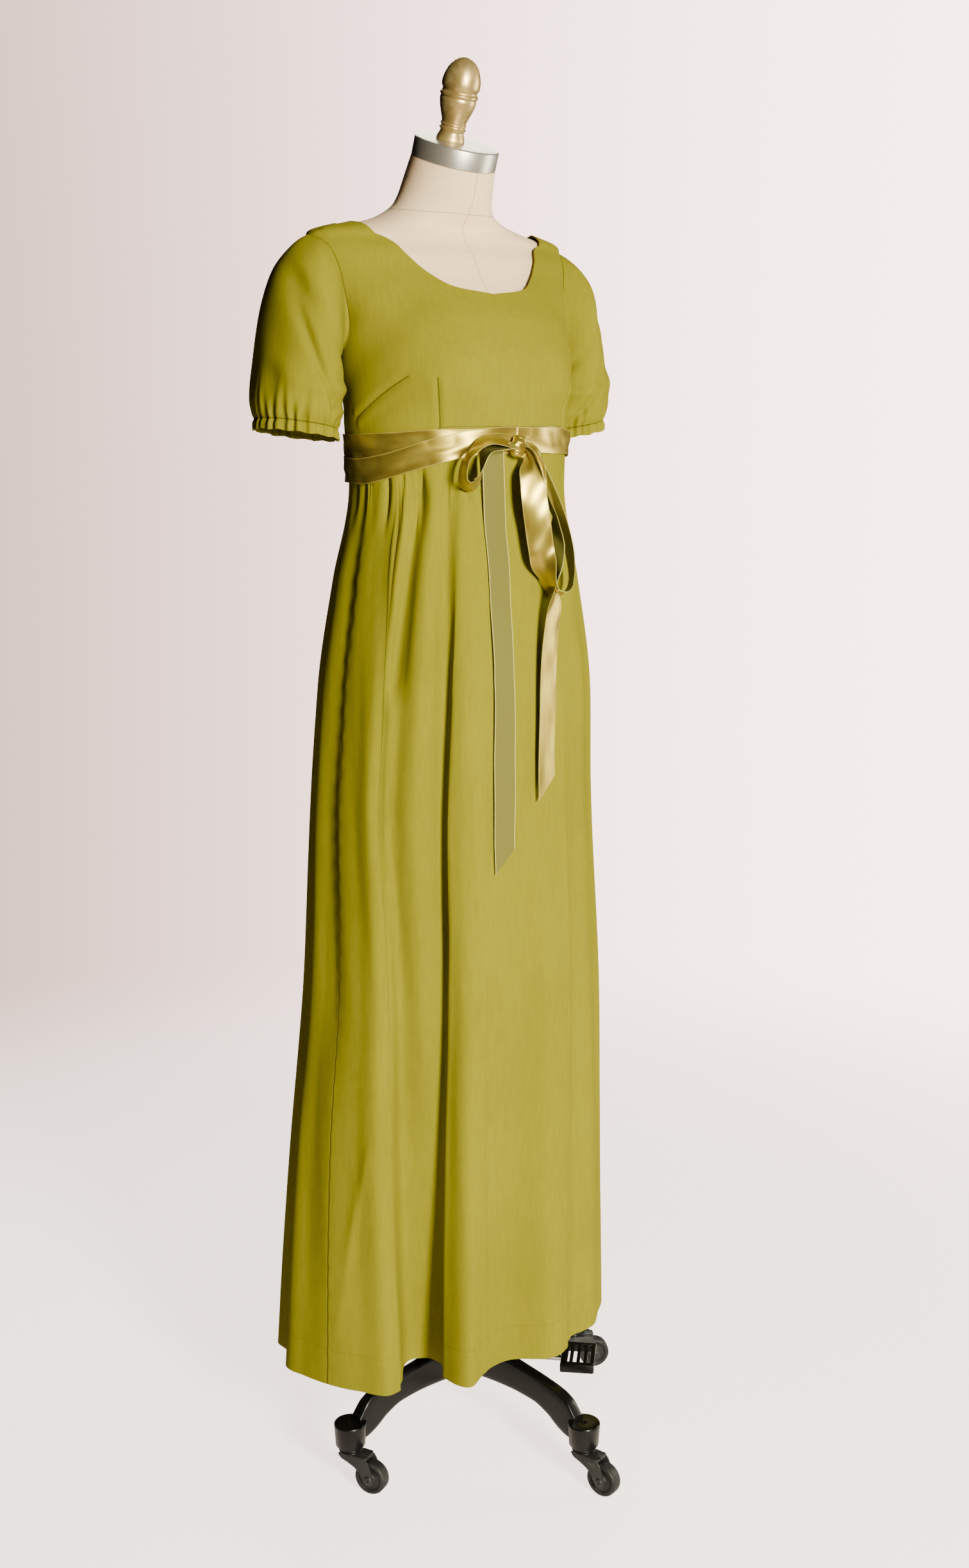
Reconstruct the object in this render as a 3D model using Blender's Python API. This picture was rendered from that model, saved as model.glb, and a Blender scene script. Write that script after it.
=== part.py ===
# A floor-length empire waist dress with puff sleeves and a ribbon sash, standing on
# a limbless dress form with a four-legged caster base.
# Metres. Front is -Y, the wearer's left is +X, Z is up, and the origin is on the
# pole's axis at the floor. A turn is an angle round the body in degrees: 0 at the
# centre front, 90 at the wearer's left side, 180 at the centre back.

import math

import bpy
import numpy as np

# Driving sizes of the dress
CLOTH = 0.0012  # wall of the dress cloth
RIBBON = 0.0010  # wall of the ribbon
RIBBON_WIDTH = 0.030
SASH_LIFT = 0.0009  # from the dress to the inner turn of the ribbon
GAP = 0.0003  # between touching pieces
SEAM_HEIGHT = 1.262  # empire seam at the sides and back
SEAM_ARCH = 0.026  # how much the seam rises at the centre front
HEM_HEIGHT = 0.147
RIDGE_EASE = 0.0006  # between the bodice and the form where it rests on the shoulders
BODY_EASE = 0.0033  # what is added to that elsewhere
MID_HEIGHT = 0.853  # where the folds of the skirt are fully formed
BUST_HEIGHT = 1.340
CUP_OUT = 0.020
CUP_TURN = 37.0
CUP_SPREAD = 27.0
CUP_RISE = 0.052
CUFF_GATHERS = 24
CUFF_DEPTH = 0.0024
WAIST_DEPTH = 0.0036  # half the height of a gather below the sash
SASH_COLUMNS = 54
FOLD_SAMPLES = 3  # mesh columns for each row of the fold table

# Driving sizes of the form and its stand
CAP_RADIUS = 0.0495
CAP_HEIGHT = 0.022
NECK_LEAN = 20.0
POLE_RADIUS = 0.0125
TUBE_RADIUS = 0.0165
TUBE_TOP = 0.520
POLE_FOOT = 0.150
FORM_FOOT = 0.800
HUB_RADIUS = 0.032
HUB_FOOT = 0.078
HUB_TOP = 0.135
BOSS_REACH = 0.2035  # from the pole's axis to a caster's swivel
BOSS_FOOT = 0.056
BOSS_TOP = 0.086
LEG_THICKNESS = 0.018
LEG_TURN = 7.0  # the front leg stands this far round from the centre front
WHEEL_RADIUS = 0.0206
WHEEL_WIDTH = 0.016
WHEEL_SIDES = 16
TRAIL = 0.030  # from a caster's swivel axis to its axle
CHEEK_INSIDE = 0.0092
CHEEK_OUTSIDE = 0.0115
PEDAL_TURN = 45.0
PEDAL_HEIGHT = 0.103

# The torso, ring by ring: half its width, its reach to the front and to the back of
# the ring's centre, the centre's place and the ring's forward lean in degrees
FORM_COLUMNS = ("height", "half_width", "front", "back", "centre_y", "lean")
FORM_ROWS = (
    (0.800, 0.145, 0.087, 0.111, 0.020, 0),
    (0.825, 0.153, 0.096, 0.119, 0.020, 0),
    (0.950, 0.157, 0.103, 0.121, 0.020, 0),
    (1.050, 0.138, 0.097, 0.101, 0.019, 0),
    (1.150, 0.109, 0.081, 0.077, 0.018, 0),
    (1.220, 0.121, 0.089, 0.081, 0.019, 0),
    (1.262, 0.13, 0.096, 0.088, 0.021, 0),
    (1.345, 0.1415, 0.101, 0.097, 0.025, 0),
    (1.400, 0.146, 0.093, 0.097, 0.029, 0),
    (1.436, 0.157, 0.078, 0.093, 0.036, 0),
    (1.457, 0.164, 0.068, 0.087, 0.041, 0),
    (1.480, 0.173, 0.062, 0.076, 0.048, 0),
    (1.4985, 0.1745, 0.052, 0.056, 0.054, 0),
    (1.512, 0.130, 0.048, 0.050, 0.054, 2),
    (1.523, 0.088, 0.047, 0.049, 0.049, 6),
    (1.537, 0.063, 0.049, 0.050, 0.043, 12),
    (1.560, 0.0535, 0.052, 0.052, 0.035, 18),
    (1.587, 0.0495, 0.0495, 0.0495, 0.0238, 20),
)

# The line of the dress below the bust, ring by ring, without its folds
DRESS_COLUMNS = ("height", "half_width", "front", "back", "centre_x", "centre_y")
DRESS_ROWS = (
    (0.147, 0.235, 0.165, 0.165, -0.020, 0.020),
    (0.4375, 0.217, 0.153, 0.153, -0.011, 0.021),
    (0.629, 0.201, 0.146, 0.146, -0.004, 0.021),
    (0.853, 0.187, 0.138, 0.140, -0.002, 0.024),
    (0.978, 0.180, 0.136, 0.138, 0.000, 0.0214),
    (1.109, 0.160, 0.122, 0.122, 0.000, 0.019),
    (1.220, 0.1395, 0.108, 0.104, 0.000, 0.017),
    (1.262, 0.141, 0.112, 0.104, 0.000, 0.020),
    (1.300, 0.143, 0.117, 0.104, 0.000, 0.022),
)

# The skirt's folds round the body: each row is the crest or the bottom of a fold, with
# its turn at the seam, at the middle and at the hem, its reach as a share of the
# dress line at the middle and at the hem, and how strongly it is gathered at the seam
FOLD_COLUMNS = ("seam", "mid", "mid_out", "hem", "hem_out", "gather")
FOLD_ROWS = (
    (-180, -180, 1.025, -180, 1.040, 1.0),
    (-171, -171, 0.950, -171, 0.860, 1.0),
    (-162, -162, 1.020, -162, 1.040, 1.0),
    (-152, -152, 0.940, -152, 0.850, 1.0),
    (-142, -142, 1.030, -142, 1.040, 1.0),
    (-132, -132, 0.950, -132, 0.880, 1.0),
    (-122, -122, 1.010, -121, 1.000, 1.0),
    (-112, -112, 0.970, -110, 0.950, 1.0),
    (-102, -101, 1.000, -98, 0.995, 1.0),
    (-92, -91, 0.970, -87, 0.955, 1.0),
    (-83, -83, 0.985, -74, 0.945, 1.0),
    (-74, -72, 0.990, -59, 0.950, 1.0),
    (-65, -63, 1.020, -47, 0.990, 1.0),
    (-58, -59, 0.960, -45, 0.840, 1.0),
    (-51, -55, 0.930, -51, 0.580, 1.0),
    (-43, -45, 0.980, -40, 0.530, 0.9),
    (-35, -35, 0.890, -31, 0.630, 0.8),
    (-27, -30, 0.970, -28, 0.820, 0.5),
    (-19, -24, 1.010, -20, 1.010, 0.3),
    (-11, -13, 0.990, -12, 0.840, 0.1),
    (-2, -2, 0.990, -1, 0.820, 0.0),
    (8, 9, 0.995, 9, 1.000, 0.0),
    (18, 19, 0.990, 18, 1.000, 0.0),
    (28, 29, 0.985, 26, 0.920, 0.1),
    (37, 38, 1.000, 36, 0.990, 0.3),
    (46, 48, 0.985, 47, 0.970, 0.6),
    (55, 58, 1.000, 58, 0.960, 0.9),
    (64, 68, 0.955, 69, 0.860, 1.0),
    (75, 79, 1.010, 80, 1.000, 1.0),
    (88, 89, 0.960, 90, 0.900, 1.0),
    (100, 100, 1.015, 101, 1.020, 1.0),
    (110, 110, 0.955, 111, 0.860, 1.0),
    (120, 120, 1.015, 121, 1.020, 1.0),
    (130, 131, 0.950, 132, 0.870, 1.0),
    (140, 141, 1.025, 142, 1.040, 1.0),
    (150, 151, 0.940, 152, 0.850, 1.0),
    (160, 161, 1.020, 161, 1.030, 1.0),
    (170, 170, 0.950, 170, 0.860, 1.0),
)
RIGHT_SIDE_ROW = 10  # fold rows on which the skirt's side seams lie
LEFT_SIDE_ROW = 29
# Heights of the skirt's mesh rows, as a share from the hem, 0, up to the seam, 1
SKIRT_SHARES = (1.0, 0.978, 0.950, 0.90, 0.81, 0.70, 0.58, 0.43, 0.23, 0.0)

# Edges of the bodice pieces: along is from 0 to 1 along the edge
EDGE_COLUMNS = ("along", "turn", "height")
ARMHOLE_SIDE = (
    (0.0, 90, SEAM_HEIGHT + GAP),
    (0.423, 90, 1.375),
    (0.487, 85, 1.387),
    (0.600, 80, 1.415),
    (0.716, 75, 1.443),
    (0.847, 71, 1.474),
    (0.930, 76, 1.490),
    (0.970, 83, 1.4960),
    (1.0, 90, 1.4985),
)
ARMHOLE_BACK = (
    (0.0, 90, SEAM_HEIGHT + GAP),
    (0.423, 90, 1.375),
    (0.487, 95, 1.387),
    (0.600, 99, 1.415),
    (0.716, 103, 1.443),
    (0.847, 107, 1.474),
    (0.930, 103, 1.490),
    (0.970, 97, 1.4960),
    (1.0, 90, 1.4985),
)
FRONT_NECK = (
    (0.0, 90, 1.4985),
    (0.24, 90, 1.512),
    (0.356, 60, 1.505),
    (0.506, 35, 1.4865),
    (0.660, 28.6, 1.457),
    (0.808, 18, 1.442),
    (1.0, 0, 1.436),
)
BACK_NECK = (
    (0.0, 90, 1.4985),
    (0.22, 90, 1.512),
    (0.42, 118, 1.505),
    (0.68, 146, 1.488),
    (1.0, 180, 1.478),
)
SIDE_STEPS = (0.0, 0.14, 0.28, 0.423, 0.53, 0.69, 0.847, 0.930, 0.970, 1.0)
UNDERARM_STEP = 3
SHOULDER_STEPS = (0.0, 0.08, 0.16, 0.24)  # the part of the front's steps along the shoulder seam
FRONT_STEPS = (*SHOULDER_STEPS, 0.298, 0.356, 0.43, 0.506, 0.58, 0.66, 0.734, 0.808, 0.904, 1.0)
BACK_STEPS = (0.0, 0.073, 0.147, 0.22, 0.287, 0.353, 0.42, 0.485, 0.55, 0.615, 0.68, 0.76, 0.84, 0.92, 1.0)

# The wearer's left sleeve, from its head, 0, to its cuff, 1: the outer line, the inner
# line beside the body, half the depth from front to back and the middle's place
SLEEVE_COLUMNS = ("along", "outer_x", "outer_z", "inner_x", "inner_z", "half_depth", "centre_y")
SLEEVE_ROWS = (
    (0.00, 0.178, 1.500, 0.158, 1.377, 0.050, 0.052),
    (0.14, 0.195, 1.492, 0.159, 1.366, 0.056, 0.053),
    (0.32, 0.216, 1.464, 0.157, 1.352, 0.062, 0.054),
    (0.50, 0.231, 1.416, 0.154, 1.337, 0.066, 0.056),
    (0.68, 0.240, 1.362, 0.1525, 1.318, 0.066, 0.058),
    (0.84, 0.247, 1.318, 0.152, 1.300, 0.062, 0.058),
    (0.93, 0.245, 1.299, 0.153, 1.284, 0.056, 0.058),
    (1.00, 0.247, 1.286, 0.151, 1.271, 0.057, 0.058),
)
SLEEVE_STEPS = (0.0, 0.11, 0.25, 0.42, 0.62, 0.80, 0.92, 1.0)
SLEEVE_COLUMNS_ROUND = 48

KNOT_PLACE = (0.0, -0.1036, 1.262)
PINCH = 0.6  # share of the ribbon's width where a loop runs into the knot
# The ribbon's bow: the middle line of each loop and the way its width points
LOOP_COLUMNS = ("x", "y", "z", "wide_x", "wide_y", "wide_z")
LEFT_LOOP = (
    (-0.0112, -0.1040, 1.2640, 0.02, -0.35, 0.90),
    (-0.0160, -0.1046, 1.2643, 0.02, -0.40, 0.90),
    (-0.032, -0.1100, 1.2760, 0.20, -0.70, 0.70),
    (-0.056, -0.1080, 1.2700, 0.45, -0.80, 0.45),
    (-0.071, -0.1040, 1.2520, 0.50, -0.85, 0.15),
    (-0.076, -0.1020, 1.2330, 0.45, -0.90, 0.00),
    (-0.067, -0.1030, 1.2190, 0.30, -0.95, 0.00),
    (-0.054, -0.1060, 1.2270, 0.30, -0.95, 0.05),
    (-0.044, -0.1085, 1.2420, 0.20, -0.90, 0.20),
    (-0.031, -0.1100, 1.2530, 0.10, -0.75, 0.40),
    (-0.0160, -0.1058, 1.2596, 0.02, -0.50, 0.75),
    (-0.0112, -0.1052, 1.2600, 0.02, -0.45, 0.80),
)
RIGHT_LOOP = (
    (0.0000, -0.1084, 1.2480, 0.90, 0.05, 0.00),
    (0.0012, -0.1130, 1.2400, 0.95, 0.08, 0.00),
    (0.0045, -0.1205, 1.2240, 0.97, 0.10, 0.00),
    (0.0090, -0.1230, 1.2000, 0.97, 0.10, 0.00),
    (0.0160, -0.1250, 1.1550, 0.97, 0.10, 0.00),
    (0.0220, -0.1250, 1.1200, 0.85, -0.30, 0.00),
    (0.0360, -0.1225, 1.1030, 0.45, -0.85, 0.10),
    (0.0530, -0.1200, 1.1200, 0.60, -0.75, 0.00),
    (0.0590, -0.1200, 1.1550, 0.72, -0.65, 0.00),
    (0.0520, -0.1190, 1.1950, 0.75, -0.60, 0.20),
    (0.0350, -0.1150, 1.2350, 0.65, -0.50, 0.50),
    (0.0160, -0.1052, 1.2612, 0.10, -0.40, 0.90),
    (0.0112, -0.1042, 1.2620, 0.02, -0.35, 0.90),
)
# The hanging ends of the ribbon, from the knot down: the middle line's x
TAIL_COLUMNS = ("height", "x")
LEFT_TAIL = ((1.268, -0.0225), (1.20, -0.0255), (1.09, -0.028), (0.95, -0.032), (0.787, -0.033))
RIGHT_TAIL = ((1.268, 0.0190), (1.22, 0.033), (1.17, 0.0440), (1.09, 0.0360), (0.98, 0.0360), (0.868, 0.0380))
TAIL_LIFT = 0.0012  # from the skirt to a hanging end
SASH_FOOT = 1.225  # the ribbon's ends lie over the sash above this height
TAIL_SLANT = 0.014  # how much longer one side of a tail's end is

# The arched leg's outline, out along its length
LEG_COLUMNS = ("reach", "top", "underside")
LEG_ROWS = (
    (0.0323, 0.1280, 0.0800),
    (0.060, 0.1260, 0.0830),
    (0.090, 0.1230, 0.0845),
    (0.122, 0.1200, 0.0830),
    (0.148, 0.1165, 0.0745),
    (0.165, 0.1130, 0.0645),
    (0.180, 0.1060, 0.0590),
    (0.194, 0.0900, 0.0570),
)
# The four legs, round from the front: name, turn and the turn to which its caster trails
LEG_TABLE = (
    ("front", LEG_TURN, 15.0),
    ("left", LEG_TURN + 90.0, 60.0),
    ("back", LEG_TURN + 180.0, 165.0),
    ("right", LEG_TURN - 90.0, 26.0),
)
FINIAL_COLUMNS = ("radius", "height")
FINIAL_ROWS = (
    (0.0158, 0.0003), (0.0160, 0.0070), (0.0138, 0.0120), (0.0152, 0.0175), (0.0146, 0.0215),
    (0.0180, 0.0320), (0.0212, 0.0430), (0.0222, 0.0500), (0.0202, 0.0560), (0.0222, 0.0630),
    (0.0205, 0.0700), (0.0170, 0.0800), (0.0105, 0.0880),
)
FINIAL_TIP = 0.0915
FINIAL_SHIFT = (-0.0045, 0.0080)  # the finial stands a little off the cap's centre


def clear_scene():
    for item in list(bpy.data.objects):
        bpy.data.objects.remove(item, do_unlink=True)


def material(name, colour, roughness, metallic):
    made = bpy.data.materials.new(name)
    made.use_nodes = True
    shader = made.node_tree.nodes["Principled BSDF"]
    shader.inputs["Base Color"].default_value = (*colour, 1.0)
    shader.inputs["Roughness"].default_value = roughness
    shader.inputs["Metallic"].default_value = metallic
    made.diffuse_color = (*colour, 1.0)
    return made


def columns(names, rows):
    return {name: np.array([row[place] for row in rows], float) for place, name in enumerate(names)}


def smooth_read(keys, values, at):
    """Reads values at the keys asked for, through a cubic that never overshoots a row."""
    keys, values, at = np.asarray(keys, float), np.asarray(values, float), np.asarray(at, float)
    step = np.diff(keys)
    slope = np.diff(values) / step
    tangent = np.zeros_like(values)
    same_way = slope[:-1] * slope[1:] > 0
    weight_low, weight_high = 2 * step[1:] + step[:-1], step[1:] + 2 * step[:-1]
    with np.errstate(divide="ignore", invalid="ignore"):
        mean = (weight_low + weight_high) / (weight_low / slope[:-1] + weight_high / slope[1:])
    tangent[1:-1] = np.where(same_way, mean, 0.0)
    tangent[0], tangent[-1] = slope[0], slope[-1]
    at = np.clip(at, keys[0], keys[-1])
    cell = np.clip(np.searchsorted(keys, at, side="right") - 1, 0, len(step) - 1)
    share = (at - keys[cell]) / step[cell]
    low, high = values[cell], values[cell + 1]
    low_tangent, high_tangent = tangent[cell] * step[cell], tangent[cell + 1] * step[cell]
    squared, cubed = share**2, share**3
    return (
        (2 * cubed - 3 * squared + 1) * low
        + (cubed - 2 * squared + share) * low_tangent
        + (3 * squared - 2 * cubed) * high
        + (cubed - squared) * high_tangent
    )


def ramp(low, high, at):
    """0 below low, 1 above high, smooth between; low may be the greater one."""
    share = np.clip((np.asarray(at, float) - low) / (high - low), 0.0, 1.0)
    return share * share * (3 - 2 * share)


def stack(x, y, z):
    return np.stack(np.broadcast_arrays(x, y, z), axis=-1)


FORM = columns(FORM_COLUMNS, FORM_ROWS)
DRESS = columns(DRESS_COLUMNS, DRESS_ROWS)
FOLDS = columns(FOLD_COLUMNS, FOLD_ROWS)
SLEEVE = columns(SLEEVE_COLUMNS, SLEEVE_ROWS)


def form_point(turn, height):
    """The torso's surface: an ellipse at each height, pushed out over the two cups."""
    read = {name: smooth_read(FORM["height"], FORM[name], height) for name in FORM_COLUMNS[1:]}
    angle = np.radians(turn)
    reach = np.where(np.cos(angle) > 0, read["front"], read["back"])
    off_cup = (np.abs((np.asarray(turn) + 180) % 360 - 180) - CUP_TURN) / CUP_SPREAD
    cup = CUP_OUT * np.exp(-(off_cup**2)) * np.exp(-(((height - BUST_HEIGHT) / CUP_RISE) ** 2))
    forward = (reach + cup) * np.cos(angle)
    lean = np.radians(read["lean"])
    return stack(
        (read["half_width"] + 0.35 * cup) * np.sin(angle),
        read["centre_y"] - forward * np.cos(lean),
        height - forward * np.sin(lean),
    )


def outward(surface, first, second, step_first, step_second):
    """Unit normals of a surface of two values, by central differences."""
    along = surface(first + step_first, second) - surface(first - step_first, second)
    across = surface(first, second + step_second) - surface(first, second - step_second)
    normal = np.cross(along, across)
    return normal / np.linalg.norm(normal, axis=-1, keepdims=True)


def dress_line(turn, height, out=1.0):
    read = {name: smooth_read(DRESS["height"], DRESS[name], height) for name in DRESS_COLUMNS[1:]}
    angle = np.radians(turn)
    reach = np.where(np.cos(angle) > 0, read["front"], read["back"])
    return stack(
        read["centre_x"] + read["half_width"] * out * np.sin(angle),
        read["centre_y"] - reach * out * np.cos(angle),
        height,
    )


def seam_height(turn):
    """The empire seam, arched up over the front, straight between the bodice's mesh columns."""
    away = np.abs((np.asarray(turn, float) + 180) % 360 - 180)
    knots = 90.0 * (1.0 - np.array(FRONT_STEPS[::-1]))
    return np.interp(away, knots, SEAM_HEIGHT + SEAM_ARCH * ramp(72.0, 32.0, knots))


def bodice_ease(turn, height):
    """How far the bodice stands off the form: it rests along the ridge of each shoulder."""
    away = np.abs((np.asarray(turn, float) + 180) % 360 - 180)
    between_cups = 0.006 * np.exp(-((away / 17.0) ** 2)) * np.exp(-(((height - BUST_HEIGHT) / 0.05) ** 2))
    upper_chest = 0.0025 * ramp(1.49, 1.44, height) * ramp(1.33, 1.38, height)
    on_ridge = ramp(14.0, 2.0, np.abs(away - 90.0)) * ramp(1.4985, 1.5035, height)
    return RIDGE_EASE + BODY_EASE * (1 - on_ridge) + between_cups + upper_chest


def bodice_point(turn, height, lift):
    """The bodice's outer face, or with a negative lift a face inside it."""
    normal = outward(form_point, turn, height, 0.05, 0.00005)
    on_form = form_point(turn, height) + normal * (bodice_ease(turn, height) + CLOTH + lift)[..., None]
    level = outward(dress_line, turn, height, 0.05, 0.00005)
    on_line = dress_line(turn, height) + level * lift
    share = ramp(1.335, 1.290, height)[..., None]
    return on_form * (1 - share) + on_line * share


def coons(bottom, top, start, end, across, up, reach):
    """Fills four edges, each a function giving turn and height; the sides' curves fade out past reach."""
    u, v = np.meshgrid(across, up)
    near_start, near_end = (1 - u) * ramp(2.15 * reach, 0.85 * reach, u), u * ramp(2.15 * reach, 0.85 * reach, 1 - u)
    filled = []
    for place in (0, 1):
        low, high = bottom(u)[place], top(u)[place]
        left, right = start(v)[place], end(v)[place]
        corners = [edge(np.array(at))[place] for edge, at in ((bottom, 0.0), (bottom, 1.0), (top, 0.0), (top, 1.0))]
        off_start = left - (1 - v) * corners[0] - v * corners[2]
        off_end = right - (1 - v) * corners[1] - v * corners[3]
        filled.append((1 - v) * low + v * high + near_start * off_start + near_end * off_end)
    return filled


def edge_of(rows, side=1.0):
    read = columns(EDGE_COLUMNS, rows)

    def edge(at):
        return side * np.interp(at, read["along"], read["turn"]), np.interp(at, read["along"], read["height"])

    return edge


def closed_wall(outer, inner, wrap=False):
    """Joins two grids of the same shape into one closed wall; wrap joins the last column to the first."""
    rows, count = outer.shape[:2]
    points = np.concatenate([outer.reshape(-1, 3), inner.reshape(-1, 3)])
    shift = rows * count
    faces = []

    def at(row, column):
        return row * count + column % count

    last = count if wrap else count - 1
    for row in range(rows - 1):
        for column in range(last):
            quad = (at(row, column), at(row, column + 1), at(row + 1, column + 1), at(row + 1, column))
            # both faces of the wall are split along the same diagonal, so that they never cross
            spans = [np.linalg.norm(points[quad[start]] - points[quad[start + 2]]) for start in (0, 1)]
            start = 0 if spans[0] <= spans[1] else 1
            for half in ((start, start + 1, start + 2), (start, start + 2, start + 3)):
                triangle = tuple(quad[corner % 4] for corner in half)
                faces.append(triangle)
                faces.append(tuple(shift + corner for corner in reversed(triangle)))
    for row in (0, rows - 1):
        for column in range(last):
            first, second = at(row, column), at(row, column + 1)
            rim = (second, first, shift + first, shift + second)
            faces.append(rim if row == 0 else tuple(reversed(rim)))
    if not wrap:
        for column in (0, count - 1):
            for row in range(rows - 1):
                first, second = at(row, column), at(row + 1, column)
                rim = (first, second, shift + second, shift + first)
                faces.append(rim if column == 0 else tuple(reversed(rim)))
    return points, faces


def volume(points, faces):
    total = 0.0
    for face in faces:
        for place in range(1, len(face) - 1):
            total += np.dot(points[face[0]], np.cross(points[face[place]], points[face[place + 1]]))
    return total / 6.0


def add_piece(name, points, faces, look, location=(0, 0, 0), spin=(0, 0, 0), sharp=40.0, hidden=False):
    """Adds a closed mesh as an object with its faces turned out."""
    points = np.asarray(points, float)
    if volume(points, faces) < 0:
        faces = [tuple(reversed(face)) for face in faces]
    mesh = bpy.data.meshes.new(name)
    mesh.from_pydata(points.tolist(), [], faces)
    mesh.validate()
    mesh.shade_smooth()
    mesh.set_sharp_from_angle(angle=math.radians(sharp))
    mesh.materials.append(look)
    made = bpy.data.objects.new(name, mesh)
    bpy.context.scene.collection.objects.link(made)
    made.location = location
    made.rotation_euler = spin
    if hidden:
        made.hide_render = True
        made.display_type = "WIRE"
    return made


def boolean(piece, cutter, operation):
    step = piece.modifiers.new(cutter.name, "BOOLEAN")
    step.operation = operation
    step.solver = "EXACT"
    step.object = cutter


def turned(profile, sides, phase=0.0, ring=False):
    """Turns a profile of (radius, height) pairs about Z; a ring's profile closes on itself."""
    angles = 2 * math.pi * (np.arange(sides) + phase) / sides
    points, faces = [], []
    for radius, height in profile:
        points += [(radius * math.cos(angle), radius * math.sin(angle), height) for angle in angles]
    levels = len(profile)
    for level in range(levels if ring else levels - 1):
        low, high = level * sides, ((level + 1) % levels) * sides
        for side in range(sides):
            after = (side + 1) % sides
            faces.append((low + side, low + after, high + after, high + side))
    if not ring:
        faces.append(tuple(reversed(range(sides))))
        faces.append(tuple((levels - 1) * sides + side for side in range(sides)))
    return points, faces


def prism(outline, half):
    """Extrudes an outline of (x, z) pairs by half to each side along Y."""
    count = len(outline)
    points = [(x, -half, z) for x, z in outline] + [(x, half, z) for x, z in outline]
    faces = [tuple(range(count)), tuple(reversed(range(count, 2 * count)))]
    faces += [(side, side + count, (side + 1) % count + count, (side + 1) % count) for side in range(count)]
    return points, faces


def block(low, high):
    x, z = (low[0], high[0]), (low[2], high[2])
    points, faces = prism([(x[0], z[0]), (x[1], z[0]), (x[1], z[1]), (x[0], z[1])], (high[1] - low[1]) / 2)
    middle = (high[1] + low[1]) / 2
    return [(px, py + middle, pz) for px, py, pz in points], faces


def level_turn(turn):
    """The spin about Z that takes +X to a turn round the body."""
    return math.radians(turn - 90.0)


def direction(turn):
    return np.array((math.sin(math.radians(turn)), -math.cos(math.radians(turn)), 0.0))


# The dress form


def make_form(linen):
    shoulder_seam = np.interp(SHOULDER_STEPS, *zip(*[(row[0], row[2]) for row in FRONT_NECK[:2]]))
    heights = np.unique(np.concatenate([FORM["height"], shoulder_seam]))
    round_body = np.arange(0.0, 360.0, 10.0)
    turn, height = np.meshgrid(round_body, heights)
    grid = form_point(turn, height)
    rows, count = grid.shape[:2]
    faces = []
    for row in range(rows - 1):
        for column in range(count):
            after = (column + 1) % count
            faces.append((row * count + column, row * count + after, (row + 1) * count + after, (row + 1) * count + column))
    faces.append(tuple(reversed(range(count))))
    faces.append(tuple((rows - 1) * count + column for column in range(count)))
    add_piece("form_body", grid.reshape(-1, 3), faces, linen)


def make_neck(steel, gold):
    lean = math.radians(NECK_LEAN)
    top = FORM_ROWS[-1]
    foot = np.array((0.0, top[4], top[0]))
    axis = np.array((0.0, -math.sin(lean), math.cos(lean)))
    cap = [(CAP_RADIUS, GAP), (CAP_RADIUS, CAP_HEIGHT - 0.001), (CAP_RADIUS - 0.001, CAP_HEIGHT)]
    points, faces = turned(cap, 32)
    add_piece("neck_cap", points, faces, steel, foot, (lean, 0, 0))
    points, faces = turned([*FINIAL_ROWS, (0.003, FINIAL_TIP)], 14)
    across = np.array((FINIAL_SHIFT[0], FINIAL_SHIFT[1] * math.cos(lean), FINIAL_SHIFT[1] * math.sin(lean)))
    add_piece("finial", points, faces, gold, foot + axis * CAP_HEIGHT + across, (lean, 0, 0))


# The dress


def panel(name, turn, height, look, shift):
    """One bodice piece over a grid of turns and heights; shift opens the seams by half a gap."""
    outer = bodice_point(turn, height, 0.0) + shift
    inner = bodice_point(turn, height, -CLOTH) + shift
    points, faces = closed_wall(outer, inner)
    add_piece(name, points, faces, look)
    return outer


def seam_shift(turn, toward):
    """Half a gap in y on the points of the side and shoulder seams."""
    on_seam = np.abs(np.abs(turn) - 90.0) < 0.01
    return stack(0.0 * turn, np.where(on_seam, toward * GAP / 2, 0.0), 0.0 * turn)


def front_edge(rows):
    """Both halves of an edge that the front piece crosses, mirrored at the centre front."""
    half = edge_of(rows)

    def edge(at):
        near = 1.0 - np.abs(2.0 * at - 1.0)
        turn, height = half(near)
        return np.sign(2.0 * at - 1.0) * turn, height

    return edge


def make_bodice(look):
    """Three pieces; gives the outer grids, whose ends are the armhole edges."""
    half = np.array(FRONT_STEPS)
    across = np.concatenate([half / 2, 1.0 - half[-2::-1] / 2])
    up = np.array(SIDE_STEPS)

    def bottom(at):
        turn = -90.0 + 180.0 * at
        return turn, seam_height(turn) + GAP

    turn, height = coons(bottom, front_edge(FRONT_NECK), edge_of(ARMHOLE_SIDE, -1), edge_of(ARMHOLE_SIDE), across, up,
                         SHOULDER_STEPS[-1] / 2)
    front = panel("bodice_front", turn, height, look, seam_shift(turn, -1))
    backs = {}
    for name, side in (("left", 1.0), ("right", -1.0)):

        def low(at, side=side):
            turn = side * (90.0 + 90.0 * at)
            return turn, seam_height(turn) + GAP

        def centre_back(at, side=side):
            return side * 180.0 + 0.0 * at, SEAM_HEIGHT + GAP + (BACK_NECK[-1][2] - SEAM_HEIGHT - GAP) * at

        turn, height = coons(low, edge_of(BACK_NECK, side), edge_of(ARMHOLE_BACK, side), centre_back,
                             np.array(BACK_STEPS), up, SHOULDER_STEPS[-1])
        shift = seam_shift(turn, 1)
        shift[:, -1, 0] += side * GAP / 2
        backs[name] = panel("bodice_back_" + name, turn, height, look, shift)
    return front, backs


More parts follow.
